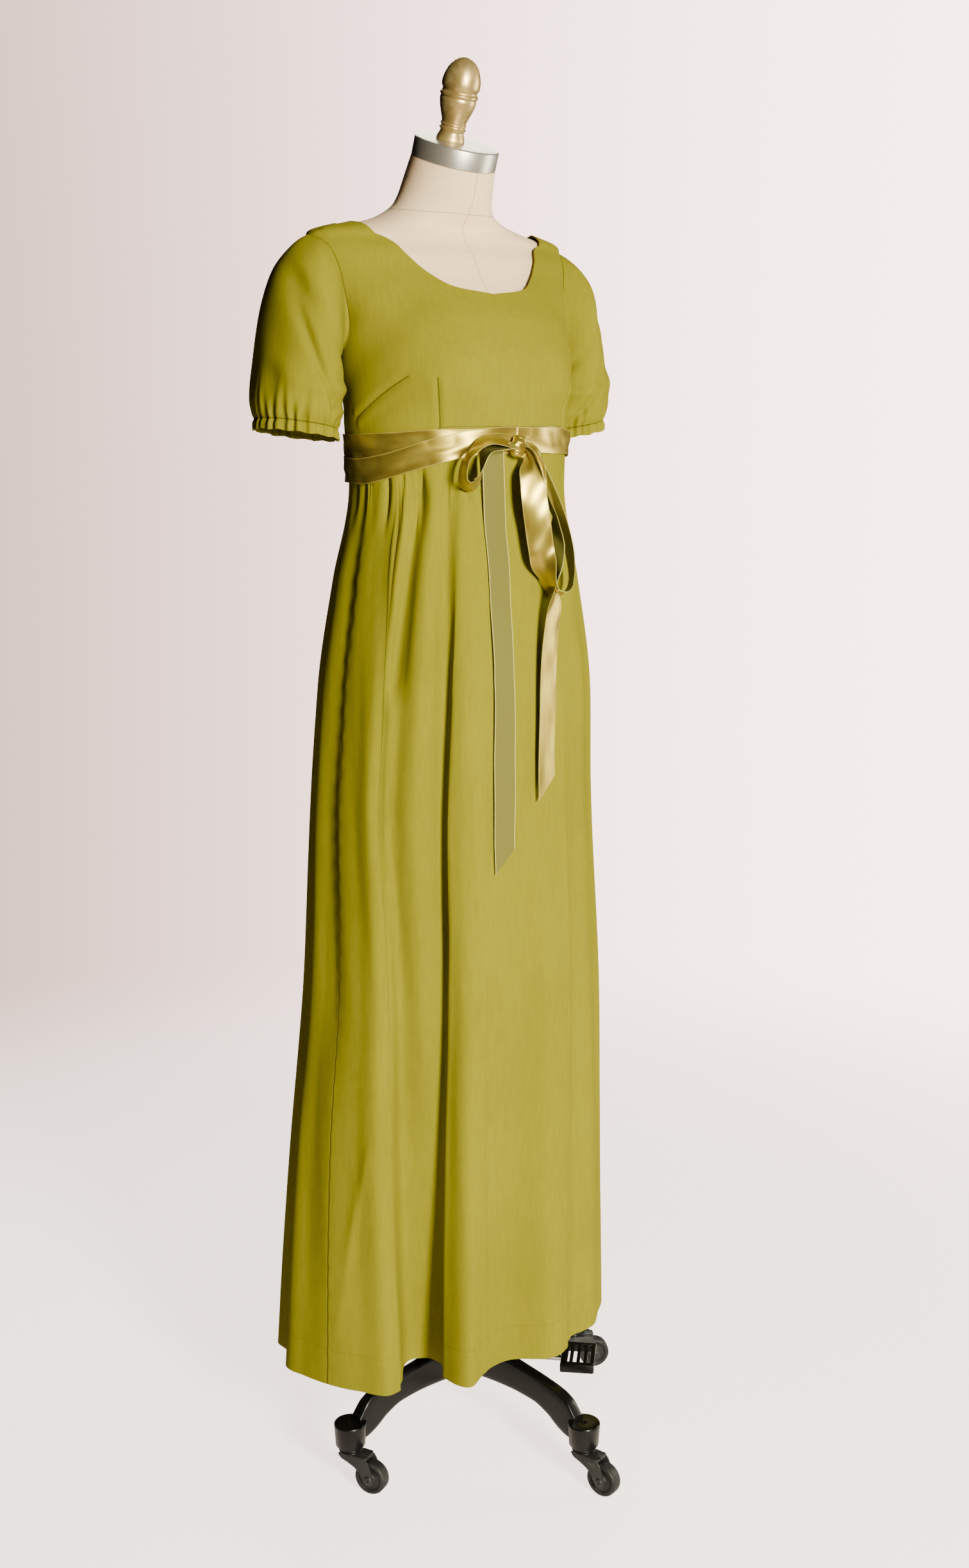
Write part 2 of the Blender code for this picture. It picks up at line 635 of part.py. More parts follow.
def sleeve_head(front, back, side):
    """The armhole's edge as points round from the shoulder tip by the front, underarm and back."""
    column = -1 if side > 0 else 0
    down_front = front[::-1, column][: len(SIDE_STEPS) - UNDERARM_STEP]
    up_back = back[:, 0][UNDERARM_STEP:]
    return np.concatenate([down_front, up_back[1:-1]])


def make_sleeve(name, head, side, look):
    steps = len(head)

    def surface(around, along):
        angle = np.radians(around)
        read = {key: smooth_read(SLEEVE["along"], SLEEVE[key], along) for key in SLEEVE_COLUMNS[1:]}
        middle_x, half_x = (read["outer_x"] + read["inner_x"]) / 2, (read["outer_x"] - read["inner_x"]) / 2
        middle_z, half_z = (read["outer_z"] + read["inner_z"]) / 2, (read["outer_z"] - read["inner_z"]) / 2
        gathered = CUFF_DEPTH * np.cos(CUFF_GATHERS * angle) * ramp(0.55, 0.90, along)
        tucked = 0.003 * np.cos(7.0 * angle) * ramp(0.0, 0.12, along) * ramp(0.45, 0.15, along)
        tucked = tucked * ramp(100.0, 60.0, np.abs((around + 180.0) % 360.0 - 180.0))
        wave = gathered + tucked
        tube = stack(
            side * (middle_x + (half_x + wave) * np.cos(angle)),
            read["centre_y"] - (read["half_depth"] + wave) * np.sin(angle),
            middle_z + half_z * np.cos(angle),
        )
        place = (np.asarray(around, float) % 360.0) / 360.0 * steps
        closed = np.concatenate([head, head[:1]])
        edge = np.stack([np.interp(place, np.arange(steps + 1), closed[:, axis]) for axis in range(3)], axis=-1)
        edge = edge + np.array((side * 2 * GAP, 0.0, 0.0))
        share = ramp(-0.02, 0.30, along)[..., None]
        start = ramp(-0.02, 0.30, 0.0)
        share = (share - start) / (1 - start)
        return edge * (1 - share) + tube * share

    around, along = np.meshgrid(np.arange(SLEEVE_COLUMNS_ROUND) * 360.0 / SLEEVE_COLUMNS_ROUND, SLEEVE_STEPS)
    outer = surface(around, along)
    normal = outward(surface, around, along, 0.5, 0.001)
    tube_middle = outer.mean(axis=1, keepdims=True)
    if np.sum(normal * (outer - tube_middle)) < 0:
        normal = -normal
    points, faces = closed_wall(outer, outer - normal * CLOTH, wrap=True)
    add_piece(name, points, faces, look)


def fold_read(key, place):
    """Reads a column of the fold table between its rows, round and round, through a cubic."""
    values = FOLDS[key]
    count = len(values)
    cell = np.floor(place).astype(int)
    share = place - cell

    def at(offset):
        index = cell + offset
        wraps = np.floor_divide(index, count)
        turned_on = 360.0 * wraps if key in ("seam", "mid", "hem") else 0.0
        return values[index % count] + turned_on

    before, low, high, after = at(-1), at(0), at(1), at(2)
    return 0.5 * (
        2 * low
        + (high - before) * share
        + (2 * before - 5 * low + 4 * high - after) * share**2
        + (3 * low - before - 3 * high + after) * share**3
    )


def skirt_point(place, share):
    """The skirt's outer face: place runs round the fold table, share from the hem to the seam."""
    place, share = np.broadcast_arrays(np.asarray(place, float), np.asarray(share, float))
    seam_turn = fold_read("seam", place)
    height = HEM_HEIGHT + (seam_height(seam_turn) - GAP / 2 - HEM_HEIGHT) * share
    formed = ramp(1.235, MID_HEIGHT + 0.05, height)
    lower = np.clip((MID_HEIGHT - height) / (MID_HEIGHT - HEM_HEIGHT), 0.0, 1.0)
    turn = seam_turn * (1 - formed) + fold_read("mid", place) * formed
    turn = turn * (1 - lower) + fold_read("hem", place) * lower
    middle = 1.0 + (fold_read("mid_out", place) - 1.0) * formed
    out = middle * (1 - lower) + fold_read("hem_out", place) * lower
    gather = WAIST_DEPTH * fold_read("gather", place) * np.cos(2 * math.pi * place)
    gather = gather * ramp(1.238, 1.185, height) * ramp(0.95, 1.12, height)
    line = dress_line(turn, height, out)
    middle_line = dress_line(turn, height, 0.0)
    away = line - middle_line
    return line + away / np.linalg.norm(away, axis=-1, keepdims=True) * gather[..., None]


def skirt_wall(first_row, last_row):
    """A panel from one seam's row to the next, each held back from its seam by half a gap."""
    held_back = 0.012
    steps = (last_row - first_row) * FOLD_SAMPLES
    places = first_row + np.arange(steps + 1) / FOLD_SAMPLES
    places[0] += held_back
    places[-1] -= held_back
    place, share = np.meshgrid(places, SKIRT_SHARES)
    outer = skirt_point(place, share)
    normal = outward(skirt_point, place, share, 0.02, 0.001)
    if np.sum(normal * (outer - outer.mean(axis=(0, 1)))) < 0:
        normal = -normal
    return outer, outer - normal * CLOTH


def make_skirt(look):
    count = len(FOLD_ROWS)
    panels = (("front", RIGHT_SIDE_ROW, LEFT_SIDE_ROW), ("back_left", LEFT_SIDE_ROW, count),
              ("back_right", 0, RIGHT_SIDE_ROW))
    for name, first_row, last_row in panels:
        outer, inner = skirt_wall(first_row, last_row)
        points, faces = closed_wall(outer, inner)
        add_piece("skirt_" + name, points, faces, look)


# The ribbon


def sash_drop(turn):
    """How far the outer turn of the sash slips down at the wearer's right side."""
    away = (np.asarray(turn, float) + 110.0 + 180.0) % 360.0 - 180.0
    return 0.026 * ramp(105.0, 20.0, np.abs(away))


def sash_rise(turn):
    """The sash follows the seam's arch a little at the front."""
    away = np.abs((np.asarray(turn, float) + 180) % 360 - 180)
    return 0.002 + 0.008 * ramp(95.0, 30.0, away)


def make_sash(name, lift, drop, look):
    turn = np.linspace(0.0, 360.0, SASH_COLUMNS, endpoint=False)
    low = SEAM_HEIGHT - RIBBON_WIDTH / 2 + sash_rise(turn) - drop * sash_drop(turn)
    turn, up = np.meshgrid(turn, (0.0, RIBBON_WIDTH))
    height = low[None, :] + up
    level = outward(dress_line, turn, height, 0.05, 0.00005)
    line = dress_line(turn, height)
    points, faces = closed_wall(line + level * (lift + RIBBON), line + level * lift, wrap=True)
    add_piece(name, points, faces, look)


def strip(name, middle, wide, width, look):
    """A ribbon along a middle line; wide gives the way its width points, width how wide it is there."""
    along = np.gradient(middle, axis=0)
    along /= np.linalg.norm(along, axis=1, keepdims=True)
    wide = wide - np.sum(wide * along, axis=1, keepdims=True) * along
    wide /= np.linalg.norm(wide, axis=1, keepdims=True)
    face = np.cross(along, wide)
    across = np.array((-0.5, 0.5))[None, :] * width[:, None]
    flat = middle[:, None, :] + wide[:, None, :] * across[:, :, None]
    thick = face[:, None, :] * RIBBON / 2
    points, faces = closed_wall(flat + thick, flat - thick)
    add_piece(name, points, faces, look)


def make_loop(name, rows, look):
    read = columns(LOOP_COLUMNS, rows)
    at = np.linspace(0, len(rows) - 1, 2 * len(rows) + 5)
    line = [smooth_read(np.arange(len(rows)), read[key], at) for key in LOOP_COLUMNS]
    middle = np.stack(line[:3], axis=1)
    off_knot = np.linalg.norm(middle - np.array(KNOT_PLACE), axis=1)
    width = RIBBON_WIDTH * (PINCH + (1 - PINCH) * ramp(0.012, 0.034, off_knot))
    strip(name, middle, np.stack(line[3:], axis=1), width, look)


def front_y(x, height):
    """The y of the skirt's front face at an x and a height."""
    places = np.arange(RIGHT_SIDE_ROW * FOLD_SAMPLES, LEFT_SIDE_ROW * FOLD_SAMPLES + 1) / FOLD_SAMPLES
    found = []
    for one_x, one_height in zip(np.ravel(x), np.ravel(height)):
        share = (one_height - HEM_HEIGHT) / (seam_height(0.0) - HEM_HEIGHT)
        ring = skirt_point(places, share)
        crest = np.argsort(ring[:, 0])
        found.append(np.interp(one_x, ring[crest, 0], ring[crest, 1]))
    return np.reshape(found, np.shape(x))


def make_tail(name, rows, slant, look):
    """A hanging end: it lies over the sash at the top and on the skirt below."""
    read = columns(TAIL_COLUMNS, rows[::-1])
    heights = np.linspace(rows[0][0], rows[-1][0], 15)
    middle = smooth_read(read["height"], read["x"], heights)
    across = np.linspace(-0.5, 0.5, 3)
    x = middle[:, None] + across[None, :] * RIBBON_WIDTH
    z = np.repeat(heights[:, None], 3, axis=1)
    z[-1] += slant * across
    half_width = smooth_read(DRESS["height"], DRESS["half_width"], z)
    off_dress = SASH_LIFT + 2 * RIBBON + 4 * GAP
    on_sash = dress_line(np.degrees(np.arcsin(x / (half_width + off_dress))), z)[..., 1] - off_dress
    off_skirt = front_y(x, z) - TAIL_LIFT
    y = np.where(z > SASH_FOOT, np.minimum(off_skirt, on_sash), off_skirt)
    y = np.minimum.accumulate(y, axis=0)
    outer = stack(x, y - RIBBON, z)
    points, faces = closed_wall(outer, stack(x, y, z))
    add_piece(name, points, faces, look)


def make_bow(look):
    make_loop("bow_loop_left", LEFT_LOOP, look)
    make_loop("bow_loop_right", RIGHT_LOOP, look)
    make_tail("bow_tail_left", LEFT_TAIL, TAIL_SLANT * 2, look)
    make_tail("bow_tail_right", RIGHT_TAIL, -TAIL_SLANT * 2, look)
    knot = [(0.0050, -0.0155), (0.0095, -0.0110), (0.0108, 0.0), (0.0095, 0.0110), (0.0050, 0.0155)]
    points, faces = turned(knot, 12)
    points = np.array(points) * (1.0, 0.62, 1.0)
    add_piece("bow_knot", points, faces, look, KNOT_PLACE)


# The stand


def make_leg(name, turn, iron):
    read = columns(LEG_COLUMNS, LEG_ROWS)
    outline = list(zip(read["reach"], read["underside"])) + list(zip(read["reach"][::-1], read["top"][::-1]))
    points, faces = prism(outline, LEG_THICKNESS / 2)
    leg = add_piece("leg_" + name, points, faces, iron, spin=(0, 0, level_turn(turn)), sharp=25.0)
    boss = [(0.0165, BOSS_FOOT), (0.0182, BOSS_TOP - 0.0015), (0.0168, BOSS_TOP)]
    points, faces = turned(boss, 18)
    place = direction(turn) * BOSS_REACH
    cutter = add_piece("boss_shape_" + name, points, faces, iron, place, hidden=True)
    boolean(leg, cutter, "UNION")


def make_caster(name, turn, trail, metal, rubber):
    """A yoke that swivels under the leg's boss, and a wheel that turns on its axle."""
    place = direction(turn) * BOSS_REACH
    spin = (0, 0, level_turn(trail))
    bottom = WHEEL_RADIUS + 0.0235
    outline = [(-0.010, bottom), (-0.010, bottom + 0.004), (0.020, bottom + 0.004), (0.030, bottom - 0.002),
               (TRAIL + 0.0075, WHEEL_RADIUS - 0.001), (TRAIL + 0.004, WHEEL_RADIUS - 0.0072),
               (TRAIL - 0.004, WHEEL_RADIUS - 0.0072), (TRAIL - 0.009, WHEEL_RADIUS + 0.003), (0.000, bottom - 0.005)]
    points, faces = prism(outline, CHEEK_OUTSIDE)
    yoke = add_piece("caster_yoke_" + name, points, faces, metal, place, spin, sharp=25.0)
    points, faces = block((-0.02, -CHEEK_INSIDE, 0.0), (0.06, CHEEK_INSIDE, bottom))
    boolean(yoke, add_piece("wheel_slot_" + name, points, faces, metal, place, spin, hidden=True), "DIFFERENCE")
    points, faces = turned([(0.0038, -0.02), (0.0038, 0.02)], 8)
    points = [(x + TRAIL, z, y + WHEEL_RADIUS) for x, y, z in points]
    boolean(yoke, add_piece("axle_hole_" + name, points, faces, metal, place, spin, hidden=True), "DIFFERENCE")
    race = [(0.0125, bottom + 0.003), (0.0145, bottom + 0.005), (0.0145, bottom + 0.009), (0.0110, BOSS_FOOT - GAP)]
    points, faces = turned(race, 14)
    boolean(yoke, add_piece("race_shape_" + name, points, faces, metal, place, spin, hidden=True), "UNION")

    axle_place = place + direction(trail) * TRAIL + np.array((0, 0, WHEEL_RADIUS))
    axle_spin = (math.pi / 2, 0, level_turn(trail))
    half = WHEEL_WIDTH / 2
    inside = half + 0.0009
    tread = WHEEL_RADIUS / math.cos(math.pi / WHEEL_SIDES)
    profile = [(0.0036, -inside), (0.0075, -inside), (tread - 0.0022, -half), (tread, -half + 0.0022),
               (tread, half - 0.0022), (tread - 0.0022, half), (0.0075, inside), (0.0036, inside)]
    points, faces = turned(profile, WHEEL_SIDES, phase=0.5, ring=True)
    add_piece("caster_wheel_" + name, points, faces, rubber, axle_place, axle_spin)
    head, pin, end = 0.0055, 0.0033, CHEEK_OUTSIDE + GAP
    profile = [(head - 0.001, -end - 0.0016), (head, -end), (pin, -end), (pin, end), (head, end),
               (head - 0.001, end + 0.0016)]
    points, faces = turned(profile, 8)
    add_piece("caster_axle_" + name, points, faces, metal, axle_place, axle_spin)


def make_stand(iron, steel, metal, rubber):
    hub = [(HUB_RADIUS - 0.003, HUB_FOOT), (HUB_RADIUS, HUB_FOOT + 0.003), (HUB_RADIUS, HUB_TOP - 0.008),
           (TUBE_RADIUS + 0.006, HUB_TOP)]
    points, faces = turned(hub, 24)
    add_piece("hub", points, faces, iron)
    collar = TUBE_RADIUS + 0.0055
    bore = POLE_RADIUS + GAP
    tube = [(bore, HUB_TOP + GAP), (TUBE_RADIUS, HUB_TOP + GAP), (TUBE_RADIUS, TUBE_TOP - 0.028),
            (collar, TUBE_TOP - 0.026), (collar, TUBE_TOP), (bore, TUBE_TOP)]
    points, faces = turned(tube, 20, ring=True)
    add_piece("pole_tube", points, faces, steel)
    points, faces = turned([(POLE_RADIUS, POLE_FOOT), (POLE_RADIUS, FORM_FOOT - GAP)], 20)
    add_piece("pole", points, faces, steel)
    for name, turn, trail in LEG_TABLE:
        make_leg(name, turn, iron)
        make_caster(name, turn, trail, metal, rubber)


def make_pedal(chrome, iron):
    """A chromed arm from the hub with a slotted tread plate on its end."""
    spin = (0, 0, level_turn(PEDAL_TURN))
    arm_end, plate_end, plate_half = 0.122, 0.166, 0.030
    points, faces = turned([(0.0062, HUB_RADIUS + GAP), (0.0062, arm_end)], 10)
    arm = [(z, y, x + PEDAL_HEIGHT) for x, y, z in points]
    add_piece("pedal_arm", arm, faces, chrome, spin=spin)
    points, faces = block((arm_end + GAP, -plate_half, PEDAL_HEIGHT - 0.007), (plate_end, plate_half, PEDAL_HEIGHT + 0.005))
    plate = add_piece("pedal_plate", points, faces, iron, spin=spin)
    for place in range(4):
        middle = (place - 1.5) * 0.0128
        points, faces = block((arm_end + 0.010, middle - 0.0040, 0.0), (plate_end - 0.005, middle + 0.0040, 0.2))
        boolean(plate, add_piece(f"slot_shape_{place}", points, faces, iron, spin=spin, hidden=True), "DIFFERENCE")


def main():
    clear_scene()
    green = material("dress_cloth", (0.42, 0.36, 0.045), 0.85, 0.0)
    satin = material("ribbon_satin", (0.42, 0.36, 0.12), 0.35, 0.0)
    linen = material("form_linen", (0.86, 0.72, 0.56), 0.9, 0.0)
    steel = material("brushed_steel", (0.55, 0.55, 0.56), 0.3, 1.0)
    gold = material("gold_paint", (0.48, 0.36, 0.12), 0.4, 0.7)
    iron = material("black_iron", (0.015, 0.015, 0.016), 0.35, 0.0)
    metal = material("caster_metal", (0.08, 0.08, 0.085), 0.45, 0.6)
    rubber = material("wheel_rubber", (0.045, 0.045, 0.048), 0.6, 0.0)
    chrome = material("chrome", (0.8, 0.8, 0.8), 0.1, 1.0)

    make_form(linen)
    make_neck(steel, gold)
    front, backs = make_bodice(green)
    for name, side in (("left", 1.0), ("right", -1.0)):
        make_sleeve("sleeve_" + name, sleeve_head(front, backs[name], side), side, green)
    make_skirt(green)
    make_sash("sash_under", SASH_LIFT, 0.0, satin)
    make_sash("sash_over", SASH_LIFT + RIBBON + 2 * GAP, 1.0, satin)
    make_bow(satin)
    make_stand(iron, steel, metal, rubber)
    make_pedal(chrome, iron)


main()
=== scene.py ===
import math

import bpy
import numpy as np
from mathutils import Matrix, Vector


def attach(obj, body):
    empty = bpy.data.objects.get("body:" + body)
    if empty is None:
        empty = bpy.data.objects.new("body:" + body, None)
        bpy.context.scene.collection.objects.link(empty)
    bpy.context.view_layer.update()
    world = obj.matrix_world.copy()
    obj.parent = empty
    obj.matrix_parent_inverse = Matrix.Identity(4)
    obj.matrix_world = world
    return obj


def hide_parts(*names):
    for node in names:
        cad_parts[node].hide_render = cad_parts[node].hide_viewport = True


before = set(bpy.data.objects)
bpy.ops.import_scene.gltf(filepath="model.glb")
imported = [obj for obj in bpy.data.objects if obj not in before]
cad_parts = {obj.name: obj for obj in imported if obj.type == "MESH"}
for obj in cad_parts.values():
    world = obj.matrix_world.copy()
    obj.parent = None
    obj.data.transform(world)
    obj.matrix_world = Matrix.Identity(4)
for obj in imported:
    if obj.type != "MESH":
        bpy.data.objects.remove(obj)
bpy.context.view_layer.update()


def smoothRead(keys, values, at):
    # a cubic through the rows that never overshoots one
    keys, values, at = np.asarray(keys, float), np.asarray(values, float), np.asarray(at, float)
    step = np.diff(keys)
    slope = np.diff(values) / step
    tangent = np.zeros_like(values)
    lowWeight, highWeight = 2 * step[1:] + step[:-1], step[1:] + 2 * step[:-1]
    with np.errstate(divide="ignore", invalid="ignore"):
        mean = (lowWeight + highWeight) / (lowWeight / slope[:-1] + highWeight / slope[1:])
    tangent[1:-1] = np.where(slope[:-1] * slope[1:] > 0, mean, 0.0)
    tangent[0], tangent[-1] = slope[0], slope[-1]
    at = np.clip(at, keys[0], keys[-1])
    cell = np.clip(np.searchsorted(keys, at, side="right") - 1, 0, len(step) - 1)
    share = (at - keys[cell]) / step[cell]
    low, high = values[cell], values[cell + 1]
    lowTangent, highTangent = tangent[cell] * step[cell], tangent[cell + 1] * step[cell]
    square, cube = share**2, share**3
    return ((2 * cube - 3 * square + 1) * low + (cube - 2 * square + share) * lowTangent
            + (3 * square - 2 * cube) * high + (cube - square) * highTangent)


def ramp(low, high, at):
    # 0 before low, 1 past high, smooth between
    share = np.clip((np.asarray(at, float) - low) / (high - low), 0.0, 1.0)
    return share * share * (3 - 2 * share)


def bump(at, middle, width):
    # a bell of height 1: e to minus the square of the distance over the width
    return np.exp(-(((np.asarray(at, float) - middle) / width) ** 2))


def stack(x, y, z):
    return np.stack(np.broadcast_arrays(x, y, z), axis=-1)


def cubicBetween(before, low, high, after, share):
    # passes through low and high, with the slopes that their neighbours give
    return 0.5 * (2 * low + (high - before) * share + (2 * before - 5 * low + 4 * high - after) * share**2
                  + (3 * low - before - 3 * high + after) * share**3)


def evened(rows):
    # each row drawn towards the two on either side of it
    padded = np.concatenate([rows[:1], rows[:1], rows, rows[-1:], rows[-1:]])
    weights = np.array((1, 4, 6, 4, 1)) / 16.0
    return sum(weight * padded[place:place + len(rows)] for place, weight in enumerate(weights))


def columnsOf(names, rows):
    # a table's rows as one array for each named column
    return {name: np.array([row[place] for row in rows], float) for place, name in enumerate(names)}


def unit(vectors):
    # each vector over its own length
    return vectors / np.maximum(np.linalg.norm(vectors, axis=-1, keepdims=True), 1e-12)


def gridQuads(rows, count, wrap=False, start=0):
    # a face between each four neighbours of a grid, whose last column may meet its first
    row, column = np.meshgrid(np.arange(rows - 1), np.arange(count if wrap else count - 1), indexing="ij")
    here = start + row * count + column
    beside = start + row * count + (column + 1) % count
    return np.stack([here, beside, beside + count, here + count], axis=-1).reshape(-1, 4)


def gridNormals(grid, wrap=False):
    # the cross product of the steps along and across the grid
    if wrap:
        across = np.roll(grid, -1, axis=1) - np.roll(grid, 1, axis=1)
    else:
        across = np.gradient(grid, axis=1)
    return unit(np.cross(across, np.gradient(grid, axis=0)))


def enclosed(points, quads):
    # six times the volume that the faces close off, with its sign
    a, b, c, d = (points[quads[:, corner]] for corner in range(4))
    return np.sum(a * np.cross(b, c)) + np.sum(a * np.cross(c, d))


def addMesh(name, points, quads, finish, body, sharp=48.0, values=None, vectors=None):
    # a piece that rides on a body, its faces turned outwards, with the attributes that its finish reads
    points = np.asarray(points, float)
    if enclosed(points, quads) < 0:
        quads = quads[:, ::-1]
    mesh = bpy.data.meshes.new(name)
    mesh.from_pydata(points.tolist(), [], quads.tolist())
    for label, numbers in (values or {}).items():
        mesh.attributes.new(label, "FLOAT", "POINT").data.foreach_set("value", np.ravel(numbers).astype(np.float32))
    for label, numbers in (vectors or {}).items():
        mesh.attributes.new(label, "FLOAT_VECTOR", "POINT").data.foreach_set(
            "vector", np.ravel(numbers).astype(np.float32))
    mesh.shade_smooth()
    mesh.set_sharp_from_angle(angle=math.radians(sharp))
    mesh.materials.append(finish)
    piece = bpy.data.objects.new(name, mesh)
    bpy.context.scene.collection.objects.link(piece)
    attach(piece, body)
    return piece


def wallQuads(rows, count, wrap):
    # two grids of the same shape, outer then inner, joined into one closed wall
    shift = rows * count
    faces = [gridQuads(rows, count, wrap), gridQuads(rows, count, wrap, shift)[:, ::-1]]
    columns = np.arange(count if wrap else count - 1)
    after = (columns + 1) % count
    for row, turnRound in ((0, False), (rows - 1, True)):
        first, second = row * count + columns, row * count + after
        rim = np.stack([second, first, shift + first, shift + second], axis=-1)
        faces.append(rim[:, ::-1] if turnRound else rim)
    if not wrap:
        levels = np.arange(rows - 1)
        for column, turnRound in ((0, False), (count - 1, True)):
            first, second = levels * count + column, (levels + 1) * count + column
            rim = np.stack([first, second, shift + second, shift + first], axis=-1)
            faces.append(rim[:, ::-1] if turnRound else rim)
    return np.concatenate(faces)


def standsFor(piece, node, slot):
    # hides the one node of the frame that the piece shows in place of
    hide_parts(node)


def addWall(name, outer, thickness, finish, body, wrap=False, vectors=None, normals=None, toward=None):
    # a sheet of cloth: the outer face, and the inner one set in along the normals
    normals = gridNormals(outer, wrap) if normals is None else normals
    toward = outer.mean(axis=(0, 1)) if toward is None else toward
    if np.sum(normals * (outer - toward)) < 0:
        normals = -normals
    points = np.concatenate([outer.reshape(-1, 3), (outer - normals * thickness).reshape(-1, 3)])
    quads = wallQuads(*outer.shape[:2], wrap)
    onBoth = {label: np.concatenate([n.reshape(-1, 3)] * 2) for label, n in (vectors or {}).items()}
    outside = np.repeat((1.0, 0.0), outer.shape[0] * outer.shape[1])
    return addMesh(name, points, quads, finish, body, values={"outside": outside}, vectors=onBoth)


def placed(points, place):
    # points turned and moved by a 4 x 4 matrix
    place = np.array(place)
    return points @ place[:3, :3].T + place[:3, 3]


def cappedTube(grid):
    # a tube of rings, each end closed by a fan about its middle
    rows, count = grid.shape[:2]
    points, quads = grid.reshape(-1, 3), [gridQuads(rows, count, True)]
    for row, flip in ((0, True), (rows - 1, False)):
        pairs = (row * count + np.arange(count)).reshape(-1, 2)
        middle = np.full(len(pairs), len(points))
        cap = np.stack([pairs[:, 0], pairs[:, 1], np.roll(pairs[:, 0], -1), middle], axis=-1)
        points = np.concatenate([points, grid[row].mean(axis=0, keepdims=True)])
        quads.append(cap[:, ::-1] if flip else cap)
    return points, np.concatenate(quads)


def turnedGrid(profile, sides):
    # a profile of (radius, height) pairs turned about Z
    profile = np.asarray(profile, float)
    angle = 2 * math.pi * np.arange(sides) / sides
    return stack(profile[:, :1] * np.cos(angle), profile[:, :1] * np.sin(angle), profile[:, 1:] + 0 * angle)


def turnedPiece(profile, sides, ring=False):
    # a ring's profile closes on itself, and any other is capped at its ends
    grid = turnedGrid(profile, sides)
    if not ring:
        return cappedTube(grid)
    quads = gridQuads(len(profile) + 1, sides, True) % (len(profile) * sides)
    return grid.reshape(-1, 3), quads


def addTurned(name, profile, sides, finish, body, place=None, sharp=35.0, ring=False, vectors=None):
    # a turned piece, set in its place by a matrix
    points, quads = turnedPiece(profile, sides, ring)
    points = points if place is None else placed(points, place)
    return addMesh(name, points, quads, finish, body, sharp, vectors=vectors)


def levelTurn(turn):
    # the spin about Z that takes +X to a turn round the body
    return math.radians(turn - 90.0)


def direction(turn):
    # level, one metre long, towards a turn round the body
    return np.array((math.sin(math.radians(turn)), -math.cos(math.radians(turn)), 0.0))


# Finishes. A Socket takes part in Python sums and adds the Math nodes for them.


class Socket:
    def __init__(self, shading, socket):
        self.shading, self.socket = shading, socket

    def with_(self, operation, other=None, turned=False):
        pair = (other, self) if turned else (self, other)
        made = self.shading.node("ShaderNodeMath", {"operation": operation},
                                 {place: value for place, value in enumerate(pair) if value is not None})
        return self.shading.out(made)

    def __add__(self, other):
        return self.with_("ADD", other)

    def __sub__(self, other):
        return self.with_("SUBTRACT", other)

    def __rsub__(self, other):
        return self.with_("SUBTRACT", other, True)

    def __mul__(self, other):
        return self.with_("MULTIPLY", other)

    def __abs__(self):
        return self.with_("ABSOLUTE")

    __radd__, __rmul__ = __add__, __mul__

    def sine(self):
        return self.with_("SINE")

    def most(self, other):
        return self.with_("MAXIMUM", other)


class Shading:
    # the nodes of a material or of the world, made and joined by one method
    def __init__(self, tree):
        self.nodes, self.links = tree.nodes, tree.links

    def fill(self, socket, value):
        if isinstance(value, Socket):
            self.links.new(value.socket, socket)
        elif socket.type == "RGBA":
            socket.default_value = (*value[:3], 1.0)
        else:
            socket.default_value = value

    def node(self, kind, settings=None, inputs=None):
        made = self.nodes.new(kind)
        for label, value in (settings or {}).items():
            if label == "ends":
                made.color_ramp.interpolation = "EASE"
                for element, colour in zip(made.color_ramp.elements, value):
                    element.color = (*colour, 1.0)
            else:
                setattr(made, label, value)
        for label, value in (inputs or {}).items():
            self.fill(made.inputs[label], value)
        return made

    def out(self, made, label=0):
        return Socket(self, made.outputs[label])


class Finish(Shading):
    # one material: its Principled shader, and what is read and worked out for it
    def __init__(self, name, colour, roughness, metallic=0.0, **constants):
        self.material = bpy.data.materials.new(name)
        self.material.use_nodes = True
        self.material.diffuse_color = (*colour, 1.0)
        super().__init__(self.material.node_tree)
        self.shader = self.nodes["Principled BSDF"]
        self.put("Base Color", colour)
        self.put("Roughness", roughness)
        self.put("Metallic", metallic)
        for label, value in constants.items():
            self.put(label.replace("_", " "), value)

    def put(self, label, value):
        self.fill(self.shader.inputs[label], value)

    def place(self):
        return self.out(self.node("ShaderNodeTexCoord"), "Object")

    def parts(self, vector):
        split = self.node("ShaderNodeSeparateXYZ", None, {0: vector})
        return [self.out(split, place) for place in range(3)]

    def scaled(self, vector, scale):
        return self.out(self.node("ShaderNodeVectorMath", {"operation": "MULTIPLY"}, {0: vector, 1: scale}))

    def read(self, name, kind="Fac"):
        return self.out(self.node("ShaderNodeAttribute", {"attribute_name": name}), kind)

    def noise(self, vector, scale, detail=2.0, roughness=0.5, distortion=0.0):
        made = self.node("ShaderNodeTexNoise", None, {"Vector": vector, "Scale": scale, "Detail": detail,
                                                      "Roughness": roughness, "Distortion": distortion})
        return self.out(made, "Fac")

    def step(self, value, low, high):
        # 0 before low and 1 past high
        made = self.node("ShaderNodeMapRange", {"interpolation_type": "SMOOTHSTEP"},
                         {"Value": value, "From Min": low, "From Max": high})
        return self.out(made, "Result")

    def mix(self, share, first, second):
        made = self.node("ShaderNodeMix", {"data_type": "RGBA"}, {"Factor": share, 6: first, 7: second})
        return self.out(made, 2)

    def raised(self, height, strength, distance, under=None):
        inputs = {"Height": height, "Strength": strength, "Distance": distance}
        if under is not None:
            inputs["Normal"] = under
        return self.out(self.node("ShaderNodeBump", None, inputs), "Normal")


